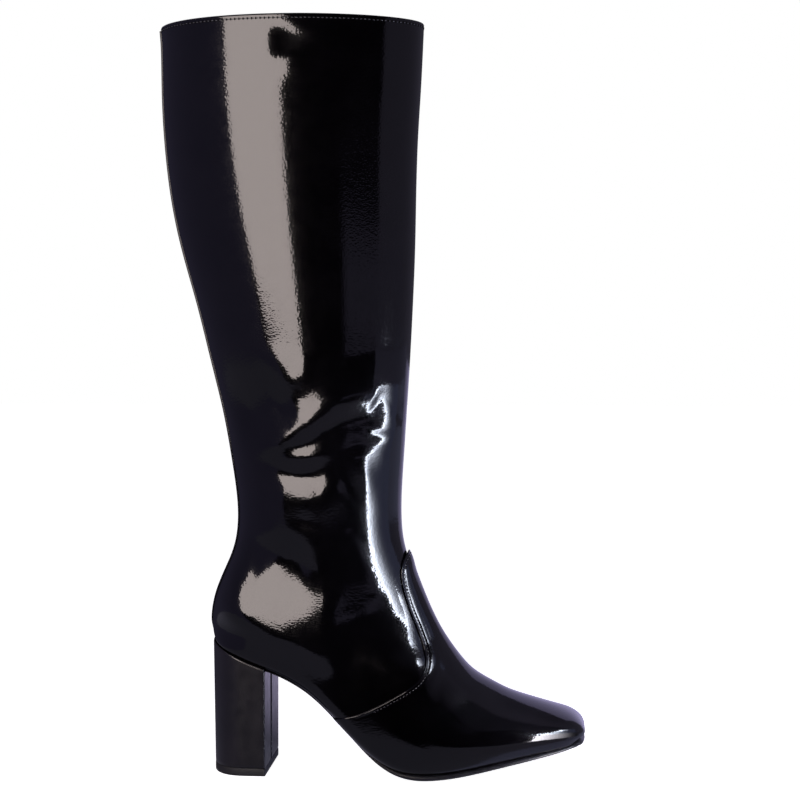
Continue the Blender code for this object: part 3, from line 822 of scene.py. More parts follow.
@dataclass
class Upper:
    """The hollow leather wall with its turned collar, and the lining inside."""

    last: Last
    columns: int = 220
    rim: float = 1.0
    rim_station: float = 0.064
    rim_steps: int = 6
    lining_columns: int = 120
    lining_gap: float = 0.06
    lining_thick: float = 0.2
    rows: tuple[tuple[float, float, int], ...] = (
        (0.064, 0.4, 6), (0.4, 5.8, 56), (5.8, 10.6, 140), (10.6, 16.0, 62), (16.0, 20.2, 36),
        (20.2, 30.0, 30))
    inner_rows: tuple[tuple[float, float, int], ...] = (
        (0.064, 5.8, 20), (5.8, 10.6, 26), (10.6, 20.2, 26), (20.2, 28.6, 12))
    lining_rows: tuple[tuple[float, float, int], ...] = ((0.62, 10.6, 60), (10.6, 27.2, 50))

    def wall(self) -> Draft:
        """Builds the outer face, the round collar edge and the inner face.

        Returns:
            The closed shell.
        """
        draft = Draft()
        ring = self.last.ring(self.columns)[None, :]
        rows = runs(self.rows)[:, None]
        outer = draft.grid(self.last.skin(rows, ring, 0.0))
        inner_rows = runs(self.inner_rows)[:, None]
        inner = draft.grid(self.last.skin(inner_rows, ring, -WALL))
        draft.quads(outer, closed=True)
        draft.quads(inner, closed=True)
        start = np.full_like(ring, self.rim_station)
        out = self.last.normal(start, ring)
        middle = self.last.skin(start, ring, -self.rim)
        turn = np.radians(np.linspace(0.0, 180.0, self.rim_steps + 2))[1:-1]
        up = np.array([0.0, 0.0, 1.0])
        arcs = np.vstack([middle + self.rim * (math.cos(a) * out + math.sin(a) * up) for a in turn])
        edge = draft.grid(arcs)
        draft.quads(np.vstack((outer[:1], edge, inner[:1])), closed=True)
        for index in (outer, inner):
            draft.across(index[-1])
        return draft

    def lining(self) -> Draft:
        """Builds the thin lining from below the collar to the toe.

        Returns:
            The closed shell.
        """
        draft = Draft()
        ring = self.last.ring(self.lining_columns)[None, :]
        rows = runs(self.lining_rows)[:, None]
        depth = -WALL - self.lining_gap
        out = draft.grid(self.last.skin(rows, ring, depth))
        face = draft.grid(self.last.skin(rows, ring, depth - self.lining_thick))
        draft.quads(out, closed=True)
        draft.quads(face, closed=True)
        for row in (0, -1):
            draft.quads(np.vstack((out[row], face[row])), closed=True)
        return draft

    def dress(self, patent: bpy.types.Material, cloth: bpy.types.Material) -> None:
        """Makes both pieces.

        Args:
            patent: Finish of the leather.
            cloth: Finish of the lining.
        """
        carry(self.wall().make("upper_leather", patent), "patent_leather", "upper")
        carry(self.lining().make("upper_lining", cloth), "sock")


@dataclass
class Vamp:
    """The front piece that laps over the shaft, with its edge drawn down by the stitches."""

    last: Last
    gap: float = 0.42
    thick: float = 2.0
    edge_thick: float = 0.85
    edge_round: float = 0.6
    plump_from: float = 1.2
    plump_to: float = 9.0
    groove: float = 0.12
    groove_width: float = 0.55
    stitch_inset: float = 2.1
    stitch_proud: float = 0.08
    stitch_turn: float = 102.0
    stitch_points: int = 900
    toeward: tuple[float, float, float] = (1.0, 0.0, -0.6)
    tongue_turn: tuple[float, float] = (42.0, 72.0)
    sole_turn: tuple[float, float] = (98.0, 126.0)
    sole_thick: float = 0.6
    join: float = 21.0
    half_angle: float = 140.0
    columns: int = 281
    back_every: int = 6
    edge_fine: int = 1600
    edge_blur: int = 30
    edge_points: int = 1200
    edge_arc: tuple[float, ...] = (0.0, 30.0, 60.0, 90.0)
    edge_rows: tuple[float, ...] = (0.9, 1.3, 1.7, 2.1, 2.5, 3.0, 3.6, 4.3, 5.2, 6.4, 7.8, 9.2)
    near_rows: int = 36
    toe_rows: int = 62
    tip_lift: float = 1.2
    tip_reach: float = 9.0

    def edge(self, count: int) -> tuple[np.ndarray, np.ndarray]:
        """Returns the angles and stations of the vamp's edge, evenly along it.

        Args:
            count: Number of points, from the inner side to the outer.

        Returns:
            Angles round the section and stations.
        """
        seam = np.array(SEAM)
        seam = np.vstack((seam[:0:-1] * (-1.0, 1.0), seam)) + (180.0, 0.0)
        fine = np.linspace(0.0, len(seam) - 1.0, self.edge_fine)
        line = sample(seam, np.arange(len(seam)), fine)
        run = lengths(self.last.surface(line[:, 1], line[:, 0]))
        line = sample(line, run, np.linspace(0.0, run[-1], self.edge_fine + 1))
        blur = self.edge_blur
        weights = np.exp(-np.linspace(-2.0, 2.0, 2 * blur + 1) ** 2)
        weights /= weights.sum()
        pad = np.vstack((2 * line[0] - line[blur:0:-1], line, 2 * line[-1] - line[-2:-2 - blur:-1]))
        line = np.stack([np.convolve(column, weights, "valid") for column in pad.T], axis=-1)
        line = sample(line, np.arange(len(line)), np.linspace(0, len(line) - 1, count))
        return line[:, 0], line[:, 1]

    def lift(self, points: np.ndarray, tip: np.ndarray) -> np.ndarray:
        """Returns how far the tongue's tip stands off the shaft at points."""
        far = np.linalg.norm(points - tip, axis=-1)
        return self.tip_lift * np.exp(-(far / self.tip_reach) ** 2)

    def inside(self, points: np.ndarray) -> np.ndarray:
        """Returns the distances of rows of points from the vamp's edge."""
        angle, t = self.edge(self.edge_points)
        line = self.last.surface(t, angle)
        far = [np.linalg.norm(row[:, None] - line[None], axis=-1).min(axis=1) for row in points]
        return np.array(far)

    def plump(self, inside: np.ndarray, angle: np.ndarray) -> np.ndarray:
        """Returns the thickness of the leather.

        Args:
            inside: Distances inside the edge.
            angle: Degrees round the section.

        Returns:
            Millimetres: less beside the stitches of the tongue and towards the sole.
        """
        away = np.abs(angle - 180.0)
        tongue = 1.0 - smooth(away, *self.tongue_turn)
        sole = smooth(away, *self.sole_turn)
        near = np.clip((self.plump_to - inside) / (self.plump_to - self.plump_from), 0.0, 1.0)
        drop = (self.thick - self.edge_thick) * near ** 2
        groove = self.groove * np.exp(-((inside - self.stitch_inset) / self.groove_width) ** 2)
        full = self.thick + (self.sole_thick - self.thick) * sole
        return full - tongue * drop - groove * (1.0 - sole)

    def shell(self) -> Draft:
        """Builds the shell with its rounded edge.

        Returns:
            The closed shell.
        """
        edge_angle, edge_t = self.edge(self.columns)
        ring = np.linspace(180.0 - self.half_angle, 180.0 + self.half_angle, self.columns)
        start = self.last.surface(edge_t, edge_angle)
        length = np.linalg.norm(self.last.surface(np.full_like(ring, self.join), ring) - start, axis=1)
        arc = np.radians(self.edge_arc)
        inside = np.concatenate(([0.0], self.edge_round * (1.0 - np.cos(arc)), self.edge_rows))
        near = inside[:, None] / length[None, :]
        share = np.linspace(0.0, 1.0, self.near_rows, endpoint=False)[1:, None]
        shares = np.vstack((near, near[-1:] + (1.0 - near[-1:]) * share))
        ease = shares * shares * (3.0 - 2.0 * shares)
        t = edge_t[None, :] + (self.join - edge_t)[None, :] * shares
        turn = edge_angle[None, :] + (ring - edge_angle)[None, :] * ease
        later = np.linspace(self.join, self.last.end, self.toe_rows)[:, None]
        t = np.vstack((t, np.repeat(later, self.columns, axis=1)))
        turn = np.vstack((turn, np.repeat(ring[None, :], len(later), axis=0)))
        height = self.plump(self.inside(self.last.surface(t, turn)), turn)
        height[0] = 0.0
        height[1:1 + len(arc)] -= self.edge_round * (1.0 - np.sin(arc))[:, None]
        height = np.maximum(height, 0.0)
        tip = start[self.columns // 2]
        lift = self.lift(self.last.surface(t, turn), tip)
        draft = Draft()
        high = draft.grid(self.last.plain(t, turn, self.gap + lift + height))
        few = np.arange(self.back_every - 1, len(t), self.back_every)
        pick = np.unique(np.append(few, len(t) - 1))
        low = draft.grid(self.last.plain(t[pick], turn[pick], self.gap + lift[pick]))
        draft.quads(high)
        draft.quads(low)
        for index in (high, low):
            draft.across(index[-1])
        draft.quads(np.vstack((high[:1], low[:1])))
        for column in (0, -1):
            rows = [high[:pick[0] + 1, column]]
            for a, b in zip(pick[:-1], pick[1:]):
                rows.append(high[a:b + 1, column])
            self.side(draft, rows, low[:, column])
        draft.faces.append([int(high[-1, 0]), int(high[-1, -1]), int(low[-1, -1]), int(low[-1, 0])])
        return draft

    @staticmethod
    def side(draft: Draft, rows: Sequence[np.ndarray], low: np.ndarray) -> None:
        """Closes a lower edge between the many rows of the face and the few of the back.

        Args:
            draft: The shell.
            rows: Runs of face indices, one before each back index and one between.
            low: Back indices.
        """
        for k, run in enumerate(rows):
            near = int(low[max(k - 1, 0)])
            ring = [int(v) for v in run]
            if k == 0:
                draft.faces.append(ring + [near])
            else:
                draft.faces.append(ring + [int(low[k]), near])

    def stitch_line(self) -> tuple[np.ndarray, np.ndarray]:
        """Returns the line of the stitches along the edge.

        Returns:
            Points on the vamp's face and their outward directions.
        """
        angle, t = self.edge(self.stitch_points)
        points = self.last.surface(t, angle)
        out = self.last.normal(t, angle)
        along = np.gradient(points, axis=0)
        along /= np.linalg.norm(along, axis=1, keepdims=True)
        into = np.cross(along, out)
        into *= np.sign(into @ np.array(self.toeward))[:, None]
        line = points + into * self.stitch_inset
        lift = self.lift(points, points[len(points) // 2])[:, None]
        deep = self.plump(np.full_like(angle, self.stitch_inset), angle)[:, None]
        line = line + out * (self.gap + deep + self.stitch_proud + lift)
        keep = np.abs(angle - 180.0) < self.stitch_turn
        return line[keep], out[keep]

    def dress(self, patent: bpy.types.Material) -> None:
        """Makes the piece in the given finish."""
        carry(self.shell().make("vamp_leather", patent), "patent_leather", "vamp")


@dataclass
class BackStrip:
    """The raised strip over the back seam."""

    last: Last
    start: float = 0.1
    taper: float = 14.2
    end: float = 14.95
    half_width: float = 4.0
    thick: float = 1.1
    sink: float = 0.15
    back_sink: float = 0.35
    side_power: float = 0.6
    top_power: float = 0.45
    rows: int = 190
    columns: int = 15

    def shell(self) -> Draft:
        """Builds the strip with a round section.

        Returns:
            The closed shell.
        """
        t = np.linspace(self.start, self.end, self.rows)
        turn = np.radians(np.linspace(180.0, 0.0, self.columns))
        share = np.sign(np.cos(turn)) * np.abs(np.cos(turn)) ** self.side_power
        height = np.sin(turn) ** self.top_power * (1.0 - smooth(t, self.taper, self.end))[:, None]
        half = np.degrees(np.arcsin(self.half_width / self.last.value(t, "lateral")))
        angle = half[:, None] * share
        draft = Draft()
        high = draft.grid(self.last.skin(t[:, None], angle, GAP - self.sink + self.thick * height))
        low = draft.grid(self.last.skin(t[:, None], angle[:, 1:-1], GAP - self.back_sink))
        draft.quads(high)
        back = np.hstack((high[:, :1], low, high[:, -1:]))
        draft.quads(back)
        for row in (0, -1):
            draft.faces.append([int(v) for v in high[row]] + [int(v) for v in low[row][::-1]])
        return draft

    def dress(self, leather: bpy.types.Material) -> None:
        """Makes the piece in the given finish."""
        carry(self.shell().make("back_strip_leather", leather, sharp=50.0), "strip_leather", "back_strip")


@dataclass
class Sock:
    """The insole that the foot stands on."""

    last: Last
    thick: float = 2.5
    edge_share: float = 0.35
    edge_power: int = 10
    span: tuple[float, ...] = (15.7, 16.2, 27.4, 27.8)
    half_angle: float = 40.0
    rows: int = 110
    columns: int = 41

    def shell(self) -> Draft:
        """Builds the sock with a rounded upper edge.

        Returns:
            The closed shell.
        """
        draft = Draft()
        t = np.linspace(self.span[0], self.span[-1], self.rows)[:, None]
        share = np.linspace(-1.0, 1.0, self.columns)[None, :]
        full = (1.0 - np.abs(share) ** self.edge_power) * plateau(t, self.span)
        height = self.thick * (self.edge_share + (1.0 - self.edge_share) * full)
        low = draft.grid(self.last.plain(t, share * self.half_angle, -WALL - GAP))
        high = draft.grid(self.last.plain(t, share * self.half_angle, -WALL - GAP - height))
        draft.quads(low)
        draft.quads(high)
        for end in (0, -1):
            draft.quads(np.vstack((low[end], high[end])))
        for end in (0, -1):
            draft.quads(np.vstack((low[:, end], high[:, end])))
        return draft

    def dress(self, leather: bpy.types.Material) -> None:
        """Makes the piece in the given finish."""
        carry(self.shell().make("insole_sock", leather, sharp=60.0), "sock", "insole")


@dataclass
class Outsole:
    """The thin sole from the breast of the heel to the toe."""

    last: Last
    tip_x: float = 117.2
    tip_half: float = 4.0
    columns: int = 37
    edge_steps: int = 7
    edge_round: float = 1.5
    edge_power: float = 0.6
    rows: tuple[tuple[float, float, int], ...] = (
        (-82.2, -30.0, 30), (-30.0, 36.0, 40), (36.0, 106.6, 40), (106.6, 116.8, 16))

    def shell(self) -> Draft:
        """Builds top, underside and the rounded edge.

        Returns:
            The closed shell.
        """
        xs = np.append(runs(self.rows), self.tip_x)
        at = np.minimum(xs, SOLE[-1].x)
        share = np.linspace(-1.0, 1.0, self.columns)[None, :]
        halves = [spread(SOLE, at, name) for name in ("lateral", "medial")]
        for half in halves:
            half[-1] = self.tip_half
        half = np.where(share < 0.0, halves[0][:, None], halves[1][:, None])
        y = self.last.under(at, "swing")[:, None] + half * share
        slope = (self.last.sole_line(xs + 1.0) - self.last.sole_line(xs - 1.0)) / 2.0
        long = np.sqrt(1.0 + slope * slope)
        nx, nz = (-slope / long)[:, None], (1.0 / long)[:, None]
        base = self.last.sole_line(xs)[:, None]
        bulge = share ** 2
        rise_top = spread(SOLE, at, "sag_top")[:, None] * bulge
        rise_low = spread(SOLE, at, "sag_low")[:, None] * bulge
        drop = GAP + spread(SOLE, at, "thick")[:, None]
        draft = Draft()
        top = np.stack((xs[:, None] - nx * (GAP - rise_top), y, base - nz * (GAP - rise_top)), -1)
        low = np.stack((xs[:, None] - nx * (drop - rise_low), y, base - nz * (drop - rise_low)), -1)
        low[..., 2] = np.maximum(low[..., 2], 0.0)
        top_index = draft.grid(top)
        low_index = draft.grid(low)
        draft.quads(top_index)
        draft.quads(low_index)
        a = self.border(top)
        b = self.border(low)
        out = self.outward(a)
        rows = []
        for k in range(1, self.edge_steps):
            part = k / self.edge_steps
            belly = self.edge_round * math.sin(math.pi * part) ** self.edge_power
            rows.append(a + (b - a) * part + out * belly)
        middle = draft.grid(np.array(rows))
        ring_a = self.border(top_index[..., None])[:, 0]
        ring_b = self.border(low_index[..., None])[:, 0]
        draft.quads(np.vstack((ring_a, middle, ring_b)), closed=True)
        return draft

    @staticmethod
    def border(block: np.ndarray) -> np.ndarray:
        """Returns the outline of a block of rows and columns, once round."""
        return np.concatenate((block[::-1, 0], block[0, 1:], block[1:, -1], block[-1, -2:0:-1]))

    @staticmethod
    def outward(ring: np.ndarray) -> np.ndarray:
        """Returns level directions away from a ring of points."""
        along = np.roll(ring, -1, axis=0) - np.roll(ring, 1, axis=0)
        out = np.stack((along[:, 1], -along[:, 0], np.zeros(len(ring))), axis=-1)
        out /= np.maximum(np.linalg.norm(out, axis=1, keepdims=True), 1e-9)
        away = ring - ring.mean(axis=0)
        return out * (1.0 if (out * away).sum() > 0.0 else -1.0)

    def dress(self, material: bpy.types.Material) -> None:
        """Makes the piece in the given finish."""
        carry(self.shell().make("outsole_edge", material, sharp=50.0), "sole", "outsole")


@dataclass
class Heel:
    """The covered block with its flat breast, and the lift under it."""

    last: Last
    breast_x: float = -83.2
    back_x: float = -119.2
    half_width: float = 28.6
    round_from_x: float = -96.0
    top_spread: float = 1.0
    power: float = 2.3
    rim_front_z: float = 68.3
    rim_slope: float = 0.34
    rim_bend: float = 0.0027
    lift_height: float = 5.0
    corner: float = 1.0
    joint_depth: float = 0.9
    joint_near: float = 3.4
    joint_far: float = 0.3
    joint_from_x: float = -90.0
    rim_round: float = 0.5
    rim_drop: float = 1.6
    rim_turns: tuple[float, ...] = (12.0, 24.0, 36.0, 48.0, 60.0, 75.0, 90.0)
    foot_round: float = 0.3
    foot_shares: tuple[float, ...] = (0.0, 0.004, 0.012)
    side_from: float = 0.03
    side_share: float = 0.985
    side_rows: int = 26
    top_scales: tuple[float, ...] = (0.9, 0.75, 0.5, 0.25)
    middle: tuple[float, float] = (-98.0, 0.0)
    radius: float = 30.0
    curve_points: int = 61
    corner_points: int = 7
    side_points: int = 4
    breast_places: tuple[float, ...] = (
        0.0, 0.15, 0.3, 0.45, 0.6, 1.0, 1.6, 3.0, 4.5, 6.0, 10.0, 14.0, 18.0, 22.0, 25.0)
    seat_rows: tuple[float, float, int] = (13.0, 20.0, 120)
    seat_columns: tuple[float, float, int] = (-110.0, 110.0, 141)
    beside: float = 1.0e6
    # Heights of the lift's rings, and how far each lies inside the outline.
    lift_profile: tuple[tuple[float, float], ...] = (
        (0.0, 0.5), (0.15, 0.2), (0.45, 0.0), (2.5, -0.05), (4.6, 0.0), (4.85, 0.1), (5.0, 0.35))

    def outline(self, by: float) -> np.ndarray:
        """Returns the D shape in plan, grown by a distance, evenly spaced and closed.

        Args:
            by: Distance outside the outline at the floor.

        Returns:
            Points (x, y) from the middle of the breast round the back.
        """
        half = self.half_width + by
        back = self.back_x - by
        turn = np.radians(np.linspace(0.0, 180.0, self.curve_points))
        c, s = np.cos(turn), np.sin(turn)
        reach = superellipse(c, s, self.power)
        curve = np.stack((self.round_from_x + (back - self.round_from_x) * s * reach,
                          -half * c * reach), axis=-1)
        sweep = np.radians(np.linspace(0.0, 90.0, self.corner_points))
        corner = np.stack((self.breast_x - self.corner * (1.0 - np.cos(sweep)),
                           -half + self.corner * (1.0 - np.sin(sweep))), axis=-1)
        across = np.array(self.breast_places)
        breast = np.stack((np.full(len(across), self.breast_x), -across), axis=-1)
        ends = (self.breast_x - self.corner, self.round_from_x)
        side = np.stack((np.linspace(*ends, self.side_points + 2)[1:-1],
                         np.full(self.side_points, -half)), axis=-1)
        near = np.vstack((breast, corner, side))
        far = (near * (1.0, -1.0))[::-1][:-1]
        return np.vstack((near, curve, far))

    def shrunk(self, plan: np.ndarray, by: float) -> np.ndarray:
        """Returns a plan drawn in by about a distance, towards the middle."""
        return np.array(self.middle) + (plan - self.middle) * (1.0 - by / self.radius)

    def rim_height(self, x: np.ndarray) -> np.ndarray:
        """Returns the height of the block's top edge at x."""
        back = self.breast_x - x
        return self.rim_front_z + self.rim_slope * back + self.rim_bend * back * back

    def seat(self) -> Callable[[float, float], float]:
        """Returns a function for the height of the seat above a place on the floor."""
        t = np.linspace(*self.seat_rows)[:, None]
        angle = np.linspace(*self.seat_columns)[None, :]
        draft = Draft()
        draft.quads(draft.grid(self.last.plain(t, angle, GAP)))
        tree = BVHTree.FromPolygons([Vector(p) for p in np.vstack(draft.points)], draft.faces)

        def height(x: float, y: float) -> float:
            """Returns the seat's height over (x, y), or a great height beside it."""
            hit = tree.ray_cast(Vector((x, y, 0.0)), Vector((0.0, 0.0, 1.0)))
            return hit[0][2] if hit[0] is not None else self.beside

        return height

    def block(self) -> Draft:
        """Builds the covered block.

        Returns:
            The closed solid.
        """
        seat = self.seat()
        low, high = self.outline(0.0), self.outline(self.top_spread)
        middle = np.array(self.middle)
        base = self.lift_height + GAP
        rows = []
        wide = np.where(low[:, 1] <= 0.0, self.joint_near, self.joint_far)
        joint = self.joint_depth * np.exp(-(low[:, 1] / wide) ** 2)
        joint = np.where(low[:, 0] > self.joint_from_x, joint, 0.0)

        def top(plan: np.ndarray) -> np.ndarray:
            """Returns the height of the top over places in plan."""
            over = np.array([seat(x, y) for x, y in plan])
            return np.minimum(self.rim_height(plan[:, 0]), over)

        edge = top(high)
        side = np.linspace(self.side_from, self.side_share, self.side_rows)
        for share in (*self.foot_shares, *side):
            pull = self.foot_round * (1.0 - smooth(np.array(share), 0.0, self.foot_shares[-1]))
            plan = self.shrunk(low + (high - low) * share, pull)
            plan[:, 0] -= joint
            z = base + (edge - self.rim_drop - base) * share / self.side_share
            rows.append(np.column_stack((plan, z)))
        for turn in np.radians(self.rim_turns):
            plan = self.shrunk(high, self.rim_round * (1.0 - math.cos(turn)))
            plan[:, 0] -= joint
            rows.append(np.column_stack((plan, edge - self.rim_drop * (1.0 - math.sin(turn)))))
        for scale in self.top_scales:
            plan = middle + (high - middle) * scale
            rows.append(np.column_stack((plan, top(plan))))
        draft = Draft()
        index = draft.grid(np.array(rows))
        draft.quads(index, closed=True)
        draft.fan(index[-1], (*middle, float(top(middle[None, :])[0])))
        draft.fan(index[0], (*middle, base))
        return draft

    def lift(self) -> Draft:
        """Builds the lift with small bevels.

        Returns:
            The closed solid.
        """
        plan = self.outline(0.0)
        rows = []
        for z, inset in self.lift_profile:
            rows.append(np.column_stack((self.shrunk(plan, inset), np.full(len(plan), z))))
        draft = Draft()
        index = draft.grid(np.array(rows))
        draft.quads(index, closed=True)
        draft.fan(index[0], (*self.middle, 0.0))
        draft.fan(index[-1], (*self.middle, self.lift_height))
        return draft

    def dress(self, leather: bpy.types.Material, rubber: bpy.types.Material) -> None:
        """Makes both pieces.

        Args:
            leather: Finish of the block's cover.
            rubber: Finish of the lift.
        """
        carry(self.block().make("heel_cover", leather, sharp=40.0), "heel_leather", "heel")
        carry(self.lift().make("heel_lift", rubber, sharp=40.0), "heel_rubber", "heel_top_piece")


@dataclass
class StitchRow:
    """A row of stitches along a line, made with nodes; it also lays the black dots of painted needle-hole
    shade.
    """

    name: str
    pitch: float
    length: float
    width: float
    height: float
    segments: int = 8
    rings: int = 5

    def tree(self) -> bpy.types.NodeTree:
        """Builds the node tree that lays stitches along a line of edges.

        Returns:
            The tree, with its sizes as named inputs in metres.
        """
        tree = bpy.data.node_groups.new("stitch_row", "GeometryNodeTree")
        for name, kind in (("Line", "Geometry"), ("Pitch", "Float"), ("Length", "Float"),
                           ("Width", "Float"), ("Height", "Float"), ("Thread", "Material")):
            tree.interface.new_socket(name, in_out="INPUT", socket_type="NodeSocket" + kind)
        tree.interface.new_socket("Stitches", in_out="OUTPUT", socket_type="NodeSocketGeometry")

        def node(kind: str, inputs: dict[str | int, Any] | None = None, **options: Any) -> Any:
            """Adds a node as add_node does, and returns its outputs."""
            return add_node(tree, kind, inputs, **options).outputs

        given = node("NodeGroupInput")
        curve = node("GeometryNodeMeshToCurve", {"Mesh": given["Line"]})
        points = node("GeometryNodeCurveToPoints", {
            "Curve": curve["Curve"], "Length": given["Pitch"]}, mode="LENGTH")
        ahead = node("FunctionNodeAlignRotationToVector", {"Vector": points["Tangent"]}, axis="X")
        lift = node("GeometryNodeInputNamedAttribute", {"Name": "lift"}, data_type="FLOAT_VECTOR")
        upright = node("FunctionNodeAlignRotationToVector", {
            "Rotation": ahead["Rotation"], "Vector": lift["Attribute"]}, axis="Z", pivot_axis="X")
        ball = node("GeometryNodeMeshUVSphere", {
            "Segments": self.segments, "Rings": self.rings, "Radius": 0.5})
        size = node("ShaderNodeCombineXYZ", {
            "X": given["Length"], "Y": given["Width"], "Z": given["Height"]})
        shape = node("GeometryNodeTransform", {"Geometry": ball["Mesh"], "Scale": size["Vector"]})
        laid = node("GeometryNodeInstanceOnPoints", {
            "Points": points["Points"], "Instance": shape["Geometry"], "Rotation": upright["Rotation"]})
        real = node("GeometryNodeRealizeInstances", {"Geometry": laid["Instances"]})
        even = node("GeometryNodeSetShadeSmooth", {"Geometry": real["Geometry"]})
        painted = node("GeometryNodeSetMaterial", {
            "Geometry": even["Geometry"], "Material": given["Thread"]})
        node("NodeGroupOutput", {"Stitches": painted["Geometry"]})
        return tree

    def sew(
        self, line: np.ndarray, out: np.ndarray, thread: bpy.types.Material, closed: bool, slot: str
    ) -> None:
        """Lays the stitches along a line and gives the piece to the frame.

        Args:
            line: Points in millimetres.
            out: Outward directions at the points.
            thread: The thread's finish, or the black finish of the painted hole shade.
            closed: Whether the line meets itself.
            slot: Name of the sewn leather's finish, passed on to carry, which doesn't use it.
        """
        tree = self.tree()
        mesh = bpy.data.meshes.new(self.name + "_line")
        count = len(line)
        edges = [(i, i + 1) for i in range(count - 1)] + ([(count - 1, 0)] if closed else [])
        mesh.from_pydata(to_row(line).tolist(), edges, [])
        lift = mesh.attributes.new("lift", "FLOAT_VECTOR", "POINT")
        lift.data.foreach_set("vector", np.asarray(out, np.float32).ravel())
        guide = show(self.name + "_line", mesh)
        modifier = guide.modifiers.new("stitches", "NODES")
        modifier.node_group = tree
        values = {"Pitch": self.pitch * MM, "Length": self.length * MM, "Width": self.width * MM,
                  "Height": self.height * MM, "Thread": thread}
        for item in tree.interface.items_tree:
            if item.in_out == "INPUT" and item.name in values:
                modifier[item.identifier] = values[item.name]
        ready = guide.evaluated_get(bpy.context.evaluated_depsgraph_get())
        piece = show(self.name, bpy.data.meshes.new_from_object(ready))
        piece.data.name = self.name
        guide.modifiers.remove(modifier)
        bpy.data.objects.remove(guide)
        carry(piece, slot)


@dataclass
class Seams:
    """The stitches at the collar and along the vamp's edge, and black dots between them that paint the
    needle holes' shade.
    """

    last: Last
    vamp: Vamp
    slot: str = "patent_leather"
    collar_station: float = 0.2
    collar_points: int = 720
    collar_proud: float = 0.02
    collar_hole_shade_turn: float = 1.3
    vamp_hole_shade_start: float = 1.15

    def collar(self, turn: float) -> tuple[np.ndarray, np.ndarray]:
        """Returns the line of the collar's stitches.

        Args:
            turn: Degrees round the collar at which it starts.

        Returns:
            Points and their outward directions.
        """
        ring = np.linspace(0.0, 360.0, self.collar_points, endpoint=False) + turn
        station = np.full_like(ring, self.collar_station)
        return self.last.skin(station, ring, self.collar_proud), self.last.normal(station, ring)

    def dress(self, thread: bpy.types.Material, hole_shade: bpy.types.Material) -> None:
        """Makes the four rows.

        Args:
            thread: Finish of the stitches.
            hole_shade: Finish of the black dots that paint the needle holes' shade.
        """
        StitchRow("collar_stitches", 2.7, 1.75, 0.7, 0.5).sew(
            *self.collar(0.0), thread, True, self.slot)
        # Black dots between the collar's stitches: painted shade of the needle holes.
        StitchRow("collar_pinhole_shade", 2.7, 1.2, 1.7, 0.4).sew(
            *self.collar(self.collar_hole_shade_turn), hole_shade, True, self.slot)
        line, out = self.vamp.stitch_line()
        StitchRow("vamp_stitches", 2.3, 1.55, 0.7, 0.5).sew(line, out, thread, False, self.slot)
        first = int(np.searchsorted(lengths(line)[1:], self.vamp_hole_shade_start)) + 1
        # Black dots between the vamp's stitches: painted shade of the needle holes.
        StitchRow("vamp_pinhole_shade", 2.3, 0.85, 0.9, 0.3).sew(
            line[first:], out[first:], hole_shade, False, self.slot)


class Panel(NamedTuple):
    """A flat light: its corners in millimetres, colour, strength, and how fast it fades.

    The fade is a power of the share that is left of the way from the first corner to the
    second; at 0 the light is even. Rest is the light that a fading panel gives all over. A
    panel with nothing but corners is black and keeps light off the boot.
    """

    name: str
    corners: tuple[tuple[float, float, float], ...]
    colour: Colour = BLACK
    strength: float = 0.0
    fade: float = 0.0
    rest: Colour = BLACK


class Bearing(Enum):
    """What the edge of a wall is measured by."""

    AZIMUTH = "degrees round the boot, from the camera to the toe"
    LEANING = "the same, less a share of the height"
    HEIGHT = "rise of the direction"


class Limit(NamedTuple):
    """An edge of a wall: its light eases from low at the first bearing to high at the last."""

    bearing: Bearing
    first: float
    last: float
    low: float = 0.0
    high: float = 1.0


class Wall(NamedTuple):
    """A part of the surroundings that the boot mirrors: its light, and its edges."""

    colour: Colour
    limits: tuple[Limit, ...]


CARD_COLOUR: Colour = (0.80, 0.86, 1.0)
CARD_REST: Colour = (0.30, 0.33, 0.56)
CARD_LIGHT = (CARD_COLOUR, 42.0, 8.0, CARD_REST)
RIGHT_LIMITS = (Limit(Bearing.LEANING, 49.0, 53.0), Limit(Bearing.AZIMUTH, 105.0, 178.0, 1.0, 0.3))


